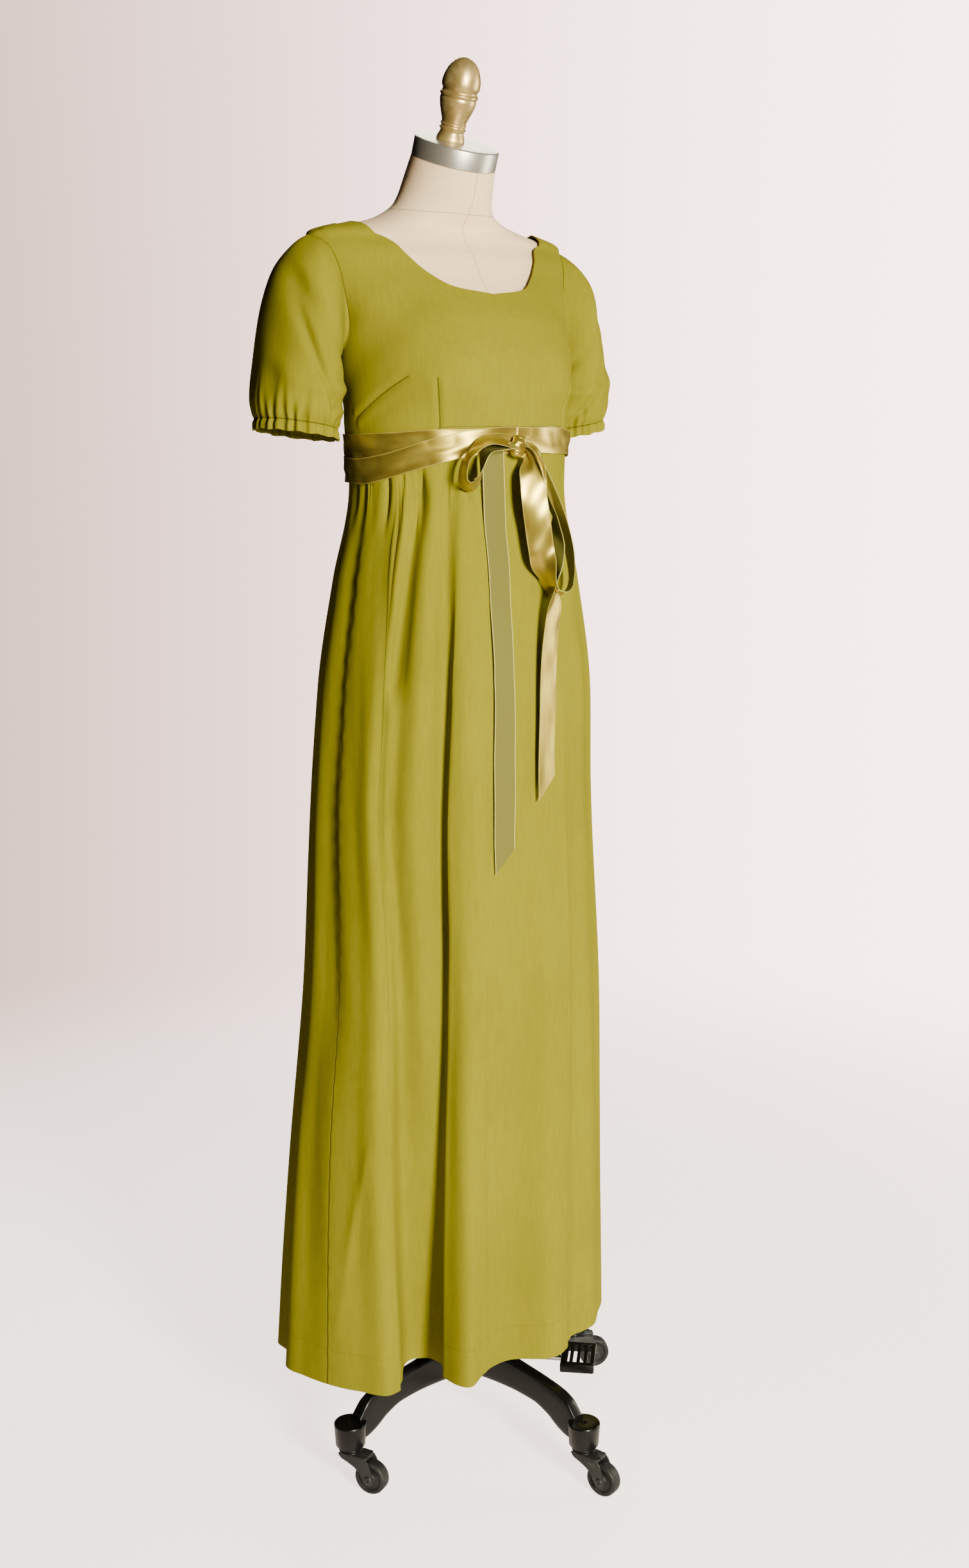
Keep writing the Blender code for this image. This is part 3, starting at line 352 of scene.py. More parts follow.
crepe = {
    "light": (0.235, 0.211, 0.0120), "deep": (0.192, 0.173, 0.0095), "seam": (0.075, 0.066, 0.007),
    "fleck": (0.27, 0.232, 0.022), "sheen": (0.80, 0.66, 0.06, 1.0),
    "grainScale": 900.0, "grainDepth": 0.00022, "slubScale": (260.0, 260.0, 40.0),
    "stitchHalf": (0.0003, 0.0011), "stitchDepth": 0.0007,
}


def makeCrepe():
    # a fine matt grain with faint upright slubs, and the stitched lines pressed in
    made = Finish("dressCrepe", crepe["light"], 0.86, Sheen_Weight=0.04, Sheen_Roughness=0.5,
                  Sheen_Tint=crepe["sheen"], Specular_IOR_Level=0.04)
    place = made.place()
    grain = made.noise(place, crepe["grainScale"], 3.0, 0.65)
    slub = made.noise(made.scaled(place, crepe["slubScale"]), 1.0, 2.0)
    wear = made.noise(place, 5.0, 3.0)
    # each stitched line's vector attribute gives the distance across it, the place along it, and how
    # strongly it shows
    seam = None
    for label in ("bustDart", "waistDart", "hemLine", "sideSeam"):
        across, along, shown = made.parts(made.read(label, "Vector"))
        line = (1.0 - made.step(abs(across), *crepe["stitchHalf"])) * made.step(along, 0.0, 0.02)
        line = line * (1.0 - made.step(along, 0.96, 1.0)) * shown
        seam = line if seam is None else seam.most(line)
    tone = made.mix(made.step(wear * 0.6 + slub * 0.4, 0.30, 0.72), crepe["deep"], crepe["light"])
    tone = made.mix(made.step(grain, 0.62, 0.80) * 0.22, tone, crepe["fleck"])
    made.put("Base Color", made.mix(seam * 0.75, tone, crepe["seam"]))
    made.put("Roughness", 0.80 + grain * 0.12)
    fine = made.raised(grain + slub * 0.5, 0.30, crepe["grainDepth"])
    made.put("Normal", made.raised(1.0 - seam, 0.8, crepe["stitchDepth"], fine))
    return made.material


# the darker satin colour is painted shade, laid with the lighter one in random bands along the ribbon as a painted
# sheen
ribbonCloth = {
    "satin": (0.56, 0.435, 0.070), "satinPaintedShade": (0.37, 0.265, 0.036), "matte": (0.132, 0.120, 0.012),
    "matteThread": (0.155, 0.140, 0.016), "thread": (0.44, 0.385, 0.09), "edge": 0.925,
}


def makeRibbon():
    # satin on one side, matte on the other, with a light thread along both edges
    made = Finish("ribbonSatin", ribbonCloth["satin"], 0.3, Specular_IOR_Level=0.45)
    satin = made.read("satin")
    weave = made.read("weave", "Vector")
    across, along, _ = made.parts(weave)
    edge = made.step(abs(across), ribbonCloth["edge"] - 0.02, ribbonCloth["edge"] + 0.02)
    threads = (across * 260.0).sine() * 0.5 + 0.5
    # painted sheen and painted shade: the satin side goes darker and lighter in bands along the ribbon, at random
    # places
    cloud = made.noise(made.scaled(weave, (0.8, 16.0, 1.0)), 1.0, 1.0)
    paintedSheenSatin = made.mix(made.step(cloud, 0.35, 0.65), ribbonCloth["satinPaintedShade"], ribbonCloth["satin"])
    matte = made.mix(threads * 0.4, ribbonCloth["matte"], ribbonCloth["matteThread"])
    tone = made.mix(satin, matte, paintedSheenSatin)
    made.put("Base Color", made.mix(edge * (1.0 - satin * 0.7), tone, ribbonCloth["thread"]))
    made.put("Metallic", satin * 0.78 * (1.0 - edge * 0.5))
    made.put("Roughness", 0.74 - satin * 0.46 + cloud * 0.06)
    # the satin is softly marbled by its creases; the threads show only close by
    marble = made.noise(made.scaled(weave, (0.50, 15.0, 1.0)), 1.0, 1.0, 0.35, 0.3)
    soft = made.raised(marble * satin, 0.30, 0.0042)
    made.put("Normal", made.raised(threads * 0.3 + edge * 1.2, 0.22, 0.0002, soft))
    return made.material


linenCover = {"light": (0.990, 0.720, 0.460), "deep": (0.940, 0.660, 0.410), "thread": (0.99, 0.78, 0.58),
              "seam": (0.40, 0.29, 0.20), "seamHalf": (0.0002, 0.0009), "threadsPerMetre": 5200.0}


def makeLinen():
    # a plain weave of two crossing threads, with the sewn seams of the cover
    made = Finish("formLinen", linenCover["light"], 0.9, Sheen_Weight=0.05, Specular_IOR_Level=0.1)
    place = made.place()
    x, y, z = made.parts(place)
    round_, ring, front = made.parts(made.read("cover", "Vector"))
    threads = linenCover["threadsPerMetre"]
    weft = (z * threads + made.noise(place, 60.0) * 6.0).sine() * 0.5 + 0.5
    warp = (round_ * threads + made.noise(place, 50.0) * 6.0).sine() * 0.5 + 0.5
    weave = weft.most(warp)
    slub = made.noise(made.scaled(place, (60.0, 60.0, 900.0)), 1.0, 3.0)
    centre = (1.0 - made.step(abs(x), *linenCover["seamHalf"])) * front
    neck = 1.0 - made.step(abs(ring), *linenCover["seamHalf"])
    seam = centre.most(neck)
    tone = made.mix(made.step(slub, 0.35, 0.70), linenCover["deep"], linenCover["light"])
    tone = made.mix(weave * 0.25, tone, linenCover["thread"])
    made.put("Base Color", made.mix(seam * 0.55, tone, linenCover["seam"]))
    fine = made.raised(weave + slub * 0.6, 0.30, 0.00018)
    made.put("Normal", made.raised(1.0 - seam, 0.8, 0.0006, fine))
    return made.material


steelLook = {"base": (0.62, 0.575, 0.53), "dark": (0.46, 0.425, 0.39), "light": (0.74, 0.69, 0.64)}


def makeSteel():
    # brushed round the band, and in rings on the flat top
    made = Finish("brushedSteel", steelLook["base"], 0.3, 0.82)
    place = made.place()
    brush = made.noise(made.scaled(made.read("cover", "Vector"), (18.0, 5200.0, 1.0)), 1.0, 3.0, 0.7)
    cloud = made.noise(place, 30.0, 3.0)
    made.put("Base Color", made.mix(brush * 0.6 + cloud * 0.3, steelLook["dark"], steelLook["light"]))
    made.put("Roughness", 0.24 + brush * 0.16 + cloud * 0.06)
    made.put("Normal", made.raised(brush, 0.12, 0.0002))
    return made.material


goldLook = {"base": (0.60, 0.43, 0.17), "deep": (0.47, 0.32, 0.11), "light": (0.68, 0.50, 0.20),
            "speck": (0.24, 0.15, 0.05)}


def makeGold():
    # gold paint with a soft sheen, and brown specks where it has rubbed thin
    made = Finish("goldPaint", goldLook["base"], 0.36, 0.7)
    place = made.place()
    cloud = made.noise(place, 70.0, 4.0, 0.6)
    speck = made.noise(place, 900.0, 2.0)
    tone = made.mix(made.step(cloud, 0.35, 0.65), goldLook["deep"], goldLook["light"])
    made.put("Base Color", made.mix(made.step(speck, 0.66, 0.76) * 0.5, tone, goldLook["speck"]))
    made.put("Roughness", 0.27 + cloud * 0.16)
    made.put("Normal", made.raised(cloud + speck * 0.3, 0.15, 0.0005))
    return made.material


ironLook = {"base": (0.003, 0.003, 0.003), "enamel": (0.0035, 0.0034, 0.0036), "worn": (0.045, 0.042, 0.040)}


def makeIron():
    # thick black enamel over a cast surface, worn a little grey in patches
    made = Finish("blackIron", ironLook["base"], 0.3, 0.0, Specular_IOR_Level=0.2, Coat_Roughness=0.12)
    place = made.place()
    cast = made.noise(place, 160.0, 4.0, 0.6)
    worn = made.step(made.noise(place, 70.0, 5.0, 0.7), 0.66, 0.74)
    made.put("Base Color", made.mix(worn * 0.4, ironLook["enamel"], ironLook["worn"]))
    made.put("Roughness", 0.24 + cast * 0.18)
    made.put("Coat Weight", 0.20 - worn * 0.12)
    made.put("Normal", made.raised(cast, 0.20, 0.0005))
    return made.material


casterLook = {"base": (0.040, 0.039, 0.040), "paint": (0.030, 0.030, 0.031), "scuff": (0.11, 0.106, 0.102)}


def makeCasterMetal():
    # satin dark paint, scuffed in upright streaks
    made = Finish("casterMetal", casterLook["base"], 0.42, 0.45)
    place = made.place()
    cast = made.noise(place, 240.0, 4.0, 0.6)
    scuff = made.step(made.noise(made.scaled(place, (50.0, 50.0, 160.0)), 1.0, 4.0, 0.7), 0.58, 0.72)
    made.put("Base Color", made.mix(scuff * 0.5, casterLook["paint"], casterLook["scuff"]))
    made.put("Roughness", 0.34 + cast * 0.18)
    made.put("Normal", made.raised(cast, 0.25, 0.0004))
    return made.material


rubberLook = {"base": (0.016, 0.016, 0.017), "clean": (0.011, 0.011, 0.012), "dust": (0.055, 0.052, 0.050)}


def makeRubber():
    # dull rubber with patches of floor dust
    made = Finish("wheelRubber", rubberLook["base"], 0.55, Specular_IOR_Level=0.35)
    place = made.place()
    grain = made.noise(place, 420.0, 3.0, 0.6)
    dust = made.step(made.noise(place, 60.0, 4.0, 0.65), 0.50, 0.72)
    made.put("Base Color", made.mix(dust * 0.4, rubberLook["clean"], rubberLook["dust"]))
    made.put("Roughness", 0.42 + grain * 0.2)
    made.put("Normal", made.raised(grain, 0.2, 0.0003))
    return made.material


chromeLook = {"base": (0.75, 0.75, 0.76), "bright": (0.74, 0.74, 0.75), "dull": (0.45, 0.42, 0.38)}


def makeChrome():
    # bright plating gone dull in clouds
    made = Finish("pedalChrome", chromeLook["base"], 0.12, 1.0)
    place = made.place()
    haze = made.noise(place, 120.0, 4.0, 0.7)
    made.put("Roughness", 0.06 + made.step(haze, 0.45, 0.8) * 0.22)
    dull = made.step(haze, 0.6, 0.85) * 0.5
    made.put("Base Color", made.mix(dull, chromeLook["bright"], chromeLook["dull"]))
    return made.material


dressCrepe, ribbonSatin, formLinen = makeCrepe(), makeRibbon(), makeLinen()
brushedSteel, goldPaint, blackIron = makeSteel(), makeGold(), makeIron()
casterMetal, wheelRubber, pedalChrome = makeCasterMetal(), makeRubber(), makeChrome()
print("finishes made")


# The floor, the light and the camera

studio = {
    "azimuth": 38.0, "down": 11.38, "away": 2.155, "aside": 0.0214, "height": 1.292,
    "focal": 2800.0 / 2447.0 * 36.0, "sensor": 36.0,
    "key": {"at": (-0.62, -3.46, 1.70), "look": (0.0, 0.0, 0.70), "size": (0.7, 1.0), "power": 345.0},
    "fill": {"at": (3.1, -1.3, 1.2), "look": (0.0, 0.0, 0.75), "size": (0.9, 1.9), "power": 72.0},
    "rim": {"at": (2.0, 2.6, 3.2), "look": (0.0, 0.0, 0.8), "size": (1.8, 1.2), "power": 60.0},
    "warm": (1.0, 0.955, 0.74),
    # the backdrop as the camera sees it, and as it lights the dress: its colours from left to right
    "seen": {"left": (0.250, 0.166, 0.140), "right": (1.0, 0.72, 0.68), "span": (-0.32, 0.30), "strength": 6.6},
    "lighting": {"left": (0.05, 0.045, 0.042), "right": (0.95, 0.90, 0.88), "span": (-0.9, 0.9), "strength": 0.05},
}
paper = {
    "base": (0.86, 0.805, 0.79), "dark": (0.82, 0.74, 0.74), "light": (0.86, 0.78, 0.78),
    "glow": (0.93, 0.775, 0.735), "glowAlways": 0.16, "glowSeen": 2.55, "fade": (0.2, 5.0),
    "rings": (0.0001, 1.0, 2.0, 3.5, 5.0, 7.0, 9.0), "sides": 64,
}


def makeFloor():
    # a round floor of pale paper that fades out into the backdrop
    rings = np.array(paper["rings"])
    grid = turnedGrid(np.stack([rings, 0 * rings], axis=1), paper["sides"]).reshape(-1, 3)
    mesh = bpy.data.meshes.new("floor")
    mesh.from_pydata(grid.tolist(), [], gridQuads(len(rings), paper["sides"], True).tolist())
    made = Finish("studioFloor", paper["base"], 0.7, Specular_IOR_Level=0.25)
    place = made.place()
    x, y, _ = made.parts(place)
    made.put("Base Color", made.mix(made.noise(place, 1.4, 3.0), paper["dark"], paper["light"]))
    made.put("Emission Color", paper["glow"])
    seen = made.out(made.node("ShaderNodeLightPath"), "Is Camera Ray")
    made.put("Emission Strength", paper["glowAlways"] + seen * paper["glowSeen"])
    made.put("Alpha", 1.0 - made.step(x * x + y * y, *paper["fade"]))
    mesh.materials.append(made.material)
    ground = bpy.data.objects.new("floor", mesh)
    bpy.context.scene.collection.objects.link(ground)


def makeBackdrop():
    # two even backdrops, each a shade that changes from the left of the view to its right
    world = bpy.data.worlds.new("studio")
    bpy.context.scene.world = world
    world.use_nodes = True
    sky = Shading(world.node_tree)
    turn = math.radians(studio["azimuth"])
    view = sky.out(sky.node("ShaderNodeTexCoord"), "Generated")
    aside = sky.out(sky.node("ShaderNodeVectorMath", {"operation": "DOT_PRODUCT"},
                             {0: view, 1: (math.cos(turn), -math.sin(turn), 0.0)}), "Value")
    sky.nodes.remove(sky.nodes["Background"])
    shades = []
    for say in (studio["lighting"], studio["seen"]):
        low, high = say["span"]
        spread = sky.node("ShaderNodeMapRange", None, {"Value": aside, "From Min": low, "From Max": high})
        shade = sky.node("ShaderNodeValToRGB", {"ends": (say["left"], say["right"])}, {0: sky.out(spread)})
        back = sky.node("ShaderNodeBackground", None, {"Color": sky.out(shade), "Strength": say["strength"]})
        shades.append(sky.out(back))
    ray = sky.out(sky.node("ShaderNodeLightPath"), "Is Camera Ray")
    both = sky.node("ShaderNodeMixShader", None, {0: ray, 1: shades[0], 2: shades[1]})
    sky.fill(sky.nodes["World Output"].inputs["Surface"], sky.out(both))


def makeLights():
    # a narrow key near the camera's left, a tall fill on the wearer's left, and one behind
    for name in ("key", "fill", "rim"):
        say = studio[name]
        lamp = bpy.data.lights.new(name, "AREA")
        lamp.shape = "RECTANGLE"
        lamp.size, lamp.size_y = say["size"]
        lamp.energy, lamp.color = say["power"], studio["warm"]
        light = bpy.data.objects.new(name, lamp)
        light.location = say["at"]
        light.rotation_euler = (Vector(say["look"]) - Vector(say["at"])).to_track_quat("-Z", "Y").to_euler()
        bpy.context.scene.collection.objects.link(light)


def makeCamera():
    # away from the pole's axis at its turn round the body, looking down a little
    turn, down = math.radians(studio["azimuth"]), math.radians(studio["down"])
    right = Vector((math.cos(turn), -math.sin(turn), 0.0))
    toward = Vector((-math.sin(turn), -math.cos(turn), 0.0))
    forward = -toward * math.cos(down) - Vector((0, 0, math.sin(down)))
    lens = bpy.data.cameras.new("camera")
    lens.lens, lens.sensor_width, lens.sensor_fit = studio["focal"], studio["sensor"], "AUTO"
    lens.clip_start = 0.05
    camera = bpy.data.objects.new("camera", lens)
    place = toward * studio["away"] + right * studio["aside"] + Vector((0, 0, studio["height"]))
    camera.matrix_world = Matrix.Translation(place) \
        @ Matrix((right, right.cross(forward), -forward)).transposed().to_4x4()
    bpy.context.scene.collection.objects.link(camera)
    bpy.context.scene.camera = camera


makeFloor()
makeBackdrop()
makeLights()
makeCamera()
print("studio made")


# The dress form: the torso, and the dress's own line below the bust

torsoColumns = ("height", "halfWidth", "front", "back", "centreY", "lean")
torso = columnsOf(torsoColumns, (
    (0.800, 0.145, 0.087, 0.111, 0.020, 0),
    (0.825, 0.153, 0.096, 0.119, 0.020, 0),
    (0.950, 0.157, 0.103, 0.121, 0.020, 0),
    (1.050, 0.138, 0.097, 0.101, 0.019, 0),
    (1.150, 0.109, 0.081, 0.077, 0.018, 0),
    (1.220, 0.121, 0.089, 0.081, 0.019, 0),
    (1.262, 0.130, 0.096, 0.088, 0.021, 0),
    (1.345, 0.1415, 0.101, 0.097, 0.025, 0),
    (1.400, 0.146, 0.093, 0.097, 0.029, 0),
    (1.436, 0.157, 0.078, 0.093, 0.036, 0),
    (1.457, 0.164, 0.068, 0.087, 0.041, 0),
    (1.480, 0.173, 0.062, 0.076, 0.048, 0),
    (1.4985, 0.1745, 0.052, 0.056, 0.054, 0),
    (1.512, 0.130, 0.048, 0.050, 0.054, 2),
    (1.523, 0.088, 0.047, 0.049, 0.049, 6),
    (1.537, 0.063, 0.049, 0.050, 0.043, 12),
    (1.560, 0.0535, 0.052, 0.052, 0.035, 18),
    (1.587, 0.0495, 0.0495, 0.0495, 0.0238, 20),
))
cups = {"out": 0.020, "turn": 37.0, "spread": 27.0, "height": 1.340, "rise": 0.052}
formGrid = {"sides": 144, "heights": ((0.8, 1.38, 30), (1.39, 1.50, 20), (1.503, 1.587, 36)), "neckSeam": 1.5325}

dressColumns = ("height", "halfWidth", "front", "back", "centreX", "centreY")
dressRings = columnsOf(dressColumns, (
    (0.147, 0.235, 0.165, 0.165, -0.020, 0.020),
    (0.4375, 0.217, 0.153, 0.153, -0.011, 0.021),
    (0.629, 0.201, 0.146, 0.146, -0.004, 0.021),
    (0.853, 0.187, 0.138, 0.140, -0.002, 0.024),
    (0.978, 0.180, 0.136, 0.138, 0.000, 0.0214),
    (1.109, 0.160, 0.122, 0.122, 0.000, 0.019),
    (1.220, 0.1395, 0.108, 0.104, 0.000, 0.017),
    (1.262, 0.141, 0.112, 0.104, 0.000, 0.020),
    (1.300, 0.143, 0.117, 0.104, 0.000, 0.022),
))
cloth = {"wall": 0.0012, "ribbonWall": 0.0010, "ribbonWidth": 0.030, "gap": 0.0003, "sashLift": 0.0009,
         "seamHeight": 1.262, "seamArch": 0.026, "hem": 0.147, "shoulderEase": 0.0006, "bodyEase": 0.0033}


def awayFromFront(turn):
    # degrees from the centre front, to either side
    return np.abs((np.asarray(turn, float) + 180) % 360 - 180)


def torsoPoint(turn, height):
    # an ellipse at each height, pushed out over the two cups and tipped forward at the neck
    read = {name: smoothRead(torso["height"], torso[name], height) for name in torsoColumns[1:]}
    angle = np.radians(turn)
    reach = np.where(np.cos(angle) > 0, read["front"], read["back"])
    cup = cups["out"] * bump(awayFromFront(turn), cups["turn"], cups["spread"]) \
        * bump(height, cups["height"], cups["rise"])
    forward = (reach + cup) * np.cos(angle)
    lean = np.radians(read["lean"])
    return stack((read["halfWidth"] + 0.35 * cup) * np.sin(angle),
                 read["centreY"] - forward * np.cos(lean), height - forward * np.sin(lean))


def normalsOf(surface, turn, height):
    # square to two short steps on the surface, one round and one up
    round_ = surface(turn + 0.05, height) - surface(turn - 0.05, height)
    up = surface(turn, height + 0.00005) - surface(turn, height - 0.00005)
    return unit(np.cross(round_, up))


def dressLine(turn, height, out=1.0):
    # an ellipse at each height, whose front half may be deeper than its back half
    read = {name: smoothRead(dressRings["height"], dressRings[name], height) for name in dressColumns[1:]}
    angle = np.radians(turn)
    reach = np.where(np.cos(angle) > 0, read["front"], read["back"])
    return stack(read["centreX"] + read["halfWidth"] * out * np.sin(angle),
                 read["centreY"] - reach * out * np.cos(angle), height)


def makeForm():
    # rings of the torso from its foot to its neck, close together at the shoulders
    turn, height = np.meshgrid(np.arange(formGrid["sides"]) * 360 / formGrid["sides"],
                               np.concatenate([np.linspace(*some) for some in formGrid["heights"]]))
    points, quads = cappedTube(torsoPoint(turn, height))
    # for the weave and seams: the way round, the distance from the neck seam, and 1 on the front
    ring = height - formGrid["neckSeam"] - 0.004 * np.cos(np.radians(turn))
    cover = stack(np.radians(awayFromFront(turn)) * 0.10, ring, (np.cos(np.radians(turn)) > 0) * 1.0)
    cover = np.concatenate([cover.reshape(-1, 3), [[0, -0.7, 0], [0, 0.05, 0]]])
    piece = addMesh("torsoCover", points, quads, formLinen, "form", 60.0, vectors={"cover": cover})
    standsFor(piece, "form_body", "form_linen")


neckTop = {"foot": (0.0, 0.0238, 1.587), "lean": 20.0, "radius": 0.0495, "height": 0.022, "sides": 96}
# the finial's place on the cap, and its profile as radius and height
finialShape = {"aside": -0.0045, "back": 0.0080, "sides": 64, "profile": (
    (0.0001, 0.0003), (0.0164, 0.0003), (0.0166, 0.0012), (0.0164, 0.0030), (0.0152, 0.0062), (0.0140, 0.0090),
    (0.0137, 0.0108), (0.0142, 0.0120), (0.0153, 0.0132), (0.0155, 0.0143), (0.0150, 0.0152), (0.0140, 0.0158),
    (0.0138, 0.0166), (0.0146, 0.0174), (0.0151, 0.0184), (0.0149, 0.0194), (0.0141, 0.0203), (0.0142, 0.0216),
    (0.0150, 0.0242), (0.0165, 0.0282), (0.0186, 0.0338), (0.0203, 0.0398), (0.0211, 0.0440), (0.0212, 0.0460),
    (0.0207, 0.0474), (0.0206, 0.0482), (0.0217, 0.0492), (0.0222, 0.0506), (0.0219, 0.0522), (0.0207, 0.0532),
    (0.0200, 0.0545), (0.0201, 0.0562), (0.0212, 0.0576), (0.0221, 0.0600), (0.0223, 0.0632), (0.0218, 0.0672),
    (0.0206, 0.0722), (0.0186, 0.0776), (0.0158, 0.0826), (0.0120, 0.0868), (0.0078, 0.0896), (0.0036, 0.0911),
    (0.0001, 0.0915))}


def makeNeckTop():
    # the steel cap on the leaning neck and the finial on the cap, both turned
    tip = Matrix.Translation(neckTop["foot"]) @ Matrix.Rotation(math.radians(neckTop["lean"]), 4, "X")
    radius, height, sides, gap = neckTop["radius"], neckTop["height"], neckTop["sides"], cloth["gap"]
    cap = [(0.0001, gap), (radius - 0.0006, gap), (radius, gap + 0.0006), (radius, height - 0.0016),
           (radius - 0.0003, height - 0.0008), (radius - 0.0010, height - 0.0002), (radius - 0.0018, height),
           (radius * 0.75, height), (radius * 0.5, height), (radius * 0.25, height), (0.0001, height)]
    # for the brushing: the way round, and the way over the profile
    turn = np.abs(np.arange(sides) / sides - 0.5) * 2
    cover = [stack(turn, h if r > radius - 0.002 else h + radius - r, 0.0) for r, h in cap]
    cover = np.concatenate([np.array(cover).reshape(-1, 3), [[0.5, 0, 0], [0.5, 0.07, 0]]])
    piece = addTurned("neckCap", cap, sides, brushedSteel, "form", tip, vectors={"cover": cover})
    standsFor(piece, "neck_cap", "brushed_steel")
    onCap = tip @ Matrix.Translation((finialShape["aside"], finialShape["back"], height))
    piece = addTurned("finialKnob", finialShape["profile"], finialShape["sides"], goldPaint, "form", onCap)
    standsFor(piece, "finial", "gold_paint")


makeForm()
makeNeckTop()
print("form made")


# The bodice

# each edge as rows of the share along it, the turn and the height: straight up to its corner, curved past it
edgeColumns = ("along", "turn", "height")
sideEdge = {"corner": 0.423, "rows": (
    (0.0, 90, 1.2623), (0.423, 90, 1.375), (0.487, 85, 1.387), (0.600, 80, 1.415), (0.716, 75, 1.443),
    (0.847, 71, 1.474), (0.930, 76, 1.490), (0.970, 83, 1.4960), (1.0, 90, 1.4985))}
backEdge = {"corner": 0.423, "rows": (
    (0.0, 90, 1.2623), (0.423, 90, 1.375), (0.487, 95, 1.387), (0.600, 99, 1.415), (0.716, 103, 1.443),
    (0.847, 107, 1.474), (0.930, 103, 1.490), (0.970, 97, 1.4960), (1.0, 90, 1.4985))}
frontNeck = {"corner": 0.24, "rows": (
    (0.0, 90, 1.4985), (0.24, 90, 1.512), (0.34, 66, 1.5098), (0.43, 48, 1.5035), (0.53, 36.5, 1.4900),
    (0.62, 32.0, 1.4740), (0.72, 27.3, 1.4560), (0.83, 19.0, 1.4395), (1.0, 0, 1.4315))}
backNeck = {"corner": 0.22, "rows": (
    (0.0, 90, 1.4985), (0.22, 90, 1.512), (0.42, 118, 1.505), (0.68, 146, 1.488), (1.0, 180, 1.478))}
darts = {
    "bust": {"from": (90.0, 1.296), "to": (51.0, 1.344)},
    "waist": {"from": (39.0, 1.280), "to": (39.0, 1.343)},
    "puff": 0.0011, "dent": 0.0012,
}
# soft creases: how far each stands out, where it is, how much it slants, and its reach up and round
bodiceCreases = (
    {"out": 0.0010, "height": 1.385, "slant": 0.00035, "up": 0.012, "turn": 55.0, "round": 24.0},
    {"out": -0.0010, "height": 1.300, "slant": 0.00020, "up": 0.010, "turn": 24.0, "round": 18.0})
bodiceGrid = {"front": 250, "back": 130, "up": 96, "onShoulder": 22}
# the room under the cloth: the span between the breasts, the chest above them, the shoulder's ridge, and
# the heights between which the cloth leaves the form for the dress's own line
bodiceRoom = {"between": 0.006, "betweenTurn": 17.0, "chest": 0.0025, "ridgeTurn": (14.0, 2.0),
              "ridgeHeight": (1.4985, 1.5035), "leaves": (1.335, 1.290)}


def seamHeight(turn):
    # the empire seam, arched up over the front
    return cloth["seamHeight"] + cloth["seamArch"] * ramp(72.0, 32.0, awayFromFront(turn))


def dartDistance(turn, height, dart):
    # metres across the dart's line, and the share of the way along it, on either half
    turn = awayFromFront(turn)
    metre = math.radians(1.0) * 0.145
    start, end = np.array(dart["from"]), np.array(dart["to"])
    way = (end - start) * (metre, 1.0)
    length = np.linalg.norm(way)
    way = way / length
    x, z = (turn - start[0]) * metre, height - start[1]
    return x * way[1] - z * way[0], (x * way[0] + z * way[1]) / length


def bodicePoint(turn, height, lift=0.0):
    # the form's surface moved out by the ease, and below the bust the dress's own line
    away = awayFromFront(turn)
    room = bodiceRoom
    between = room["between"] * bump(away, 0.0, room["betweenTurn"]) * bump(height, cups["height"], 0.05)
    chest = room["chest"] * ramp(1.49, 1.44, height) * ramp(1.33, 1.38, height)
    onRidge = ramp(*room["ridgeTurn"], np.abs(away - 90.0)) * ramp(*room["ridgeHeight"], height)
    ease = cloth["shoulderEase"] + cloth["bodyEase"] * (1 - onRidge) + between + chest
    normal = normalsOf(torsoPoint, turn, height)
    onForm = torsoPoint(turn, height) + normal * (ease + cloth["wall"] + lift)[..., None]
    onLine = dressLine(turn, height) + normalsOf(dressLine, turn, height) * np.asarray(lift)[..., None]
    share = ramp(*room["leaves"], height)[..., None]
    return onForm * (1 - share) + onLine * share


def bodiceRelief(turn, height):
    # darts pull in along their line and puff beside it, and the cloth drags softly between its seams
    away = awayFromFront(turn)
    lift = 0.0
    for name in ("bust", "waist"):
        across, along = dartDistance(turn, height, darts[name])
        held = ramp(-0.02, 0.06, along) * ramp(1.05, 0.80, along) * (away < 100)
        beside, line = bump(np.abs(across), 0.007, 0.006), bump(across, 0, 0.0028)
        lift = lift + held * (darts["puff"] * beside - darts["dent"] * line)
    drag = 0.0009 * np.sin(away * 0.16 + height * 95.0 + 1.0) * ramp(20, 45, away) * ramp(1.28, 1.33, height)
    drag = drag * ramp(1.47, 1.42, height)
    for crease in bodiceCreases:
        drag = drag + crease["out"] * bump(height - crease["slant"] * away, crease["height"], crease["up"]) \
            * bump(away, crease["turn"], crease["round"])
    lift = lift + drag * ramp(1.4985, 1.47, height)
    back = 0.0006 * np.sin(height * 60.0 + away * 0.09) * ramp(110, 135, away)
    return lift * ramp(180.0, 120.0, away) + back * ramp(1.49, 1.46, height) * ramp(1.27, 1.30, height)


def edgeOf(edge, side=1.0):
    # gives the turn and the height at each share along an edge's table
    read = columnsOf(edgeColumns, edge["rows"])

    def along(at):
        at = np.asarray(at, float)
        past = read["along"] >= edge["corner"] - 1e-9
        found = []
        for name in ("turn", "height"):
            straight = np.interp(at, read["along"], read[name])
            curve = smoothRead(read["along"][past], read[name][past], at)
            found.append(np.where(at < edge["corner"], straight, curve))
        return side * found[0], found[1]

    return along


def coons(bottom, top, start, end, across, up, reach):
    # fills four edges, each a function giving turn and height; the sides' curves fade out past reach
    u, v = np.meshgrid(across, up)
    nearStart = (1 - u) * ramp(2.15 * reach, 0.85 * reach, u)
    nearEnd = u * ramp(2.15 * reach, 0.85 * reach, 1 - u)
    corners = ((bottom, 0.0), (bottom, 1.0), (top, 0.0), (top, 1.0))
    filled = []
    for place in (0, 1):
        low, high = bottom(u)[place], top(u)[place]
        left, right = start(v)[place], end(v)[place]
        a, b, c, d = [edge(np.array(at))[place] for edge, at in corners]
        filled.append((1 - v) * low + v * high + nearStart * (left - (1 - v) * a - v * c)
                      + nearEnd * (right - (1 - v) * b - v * d))
    return filled


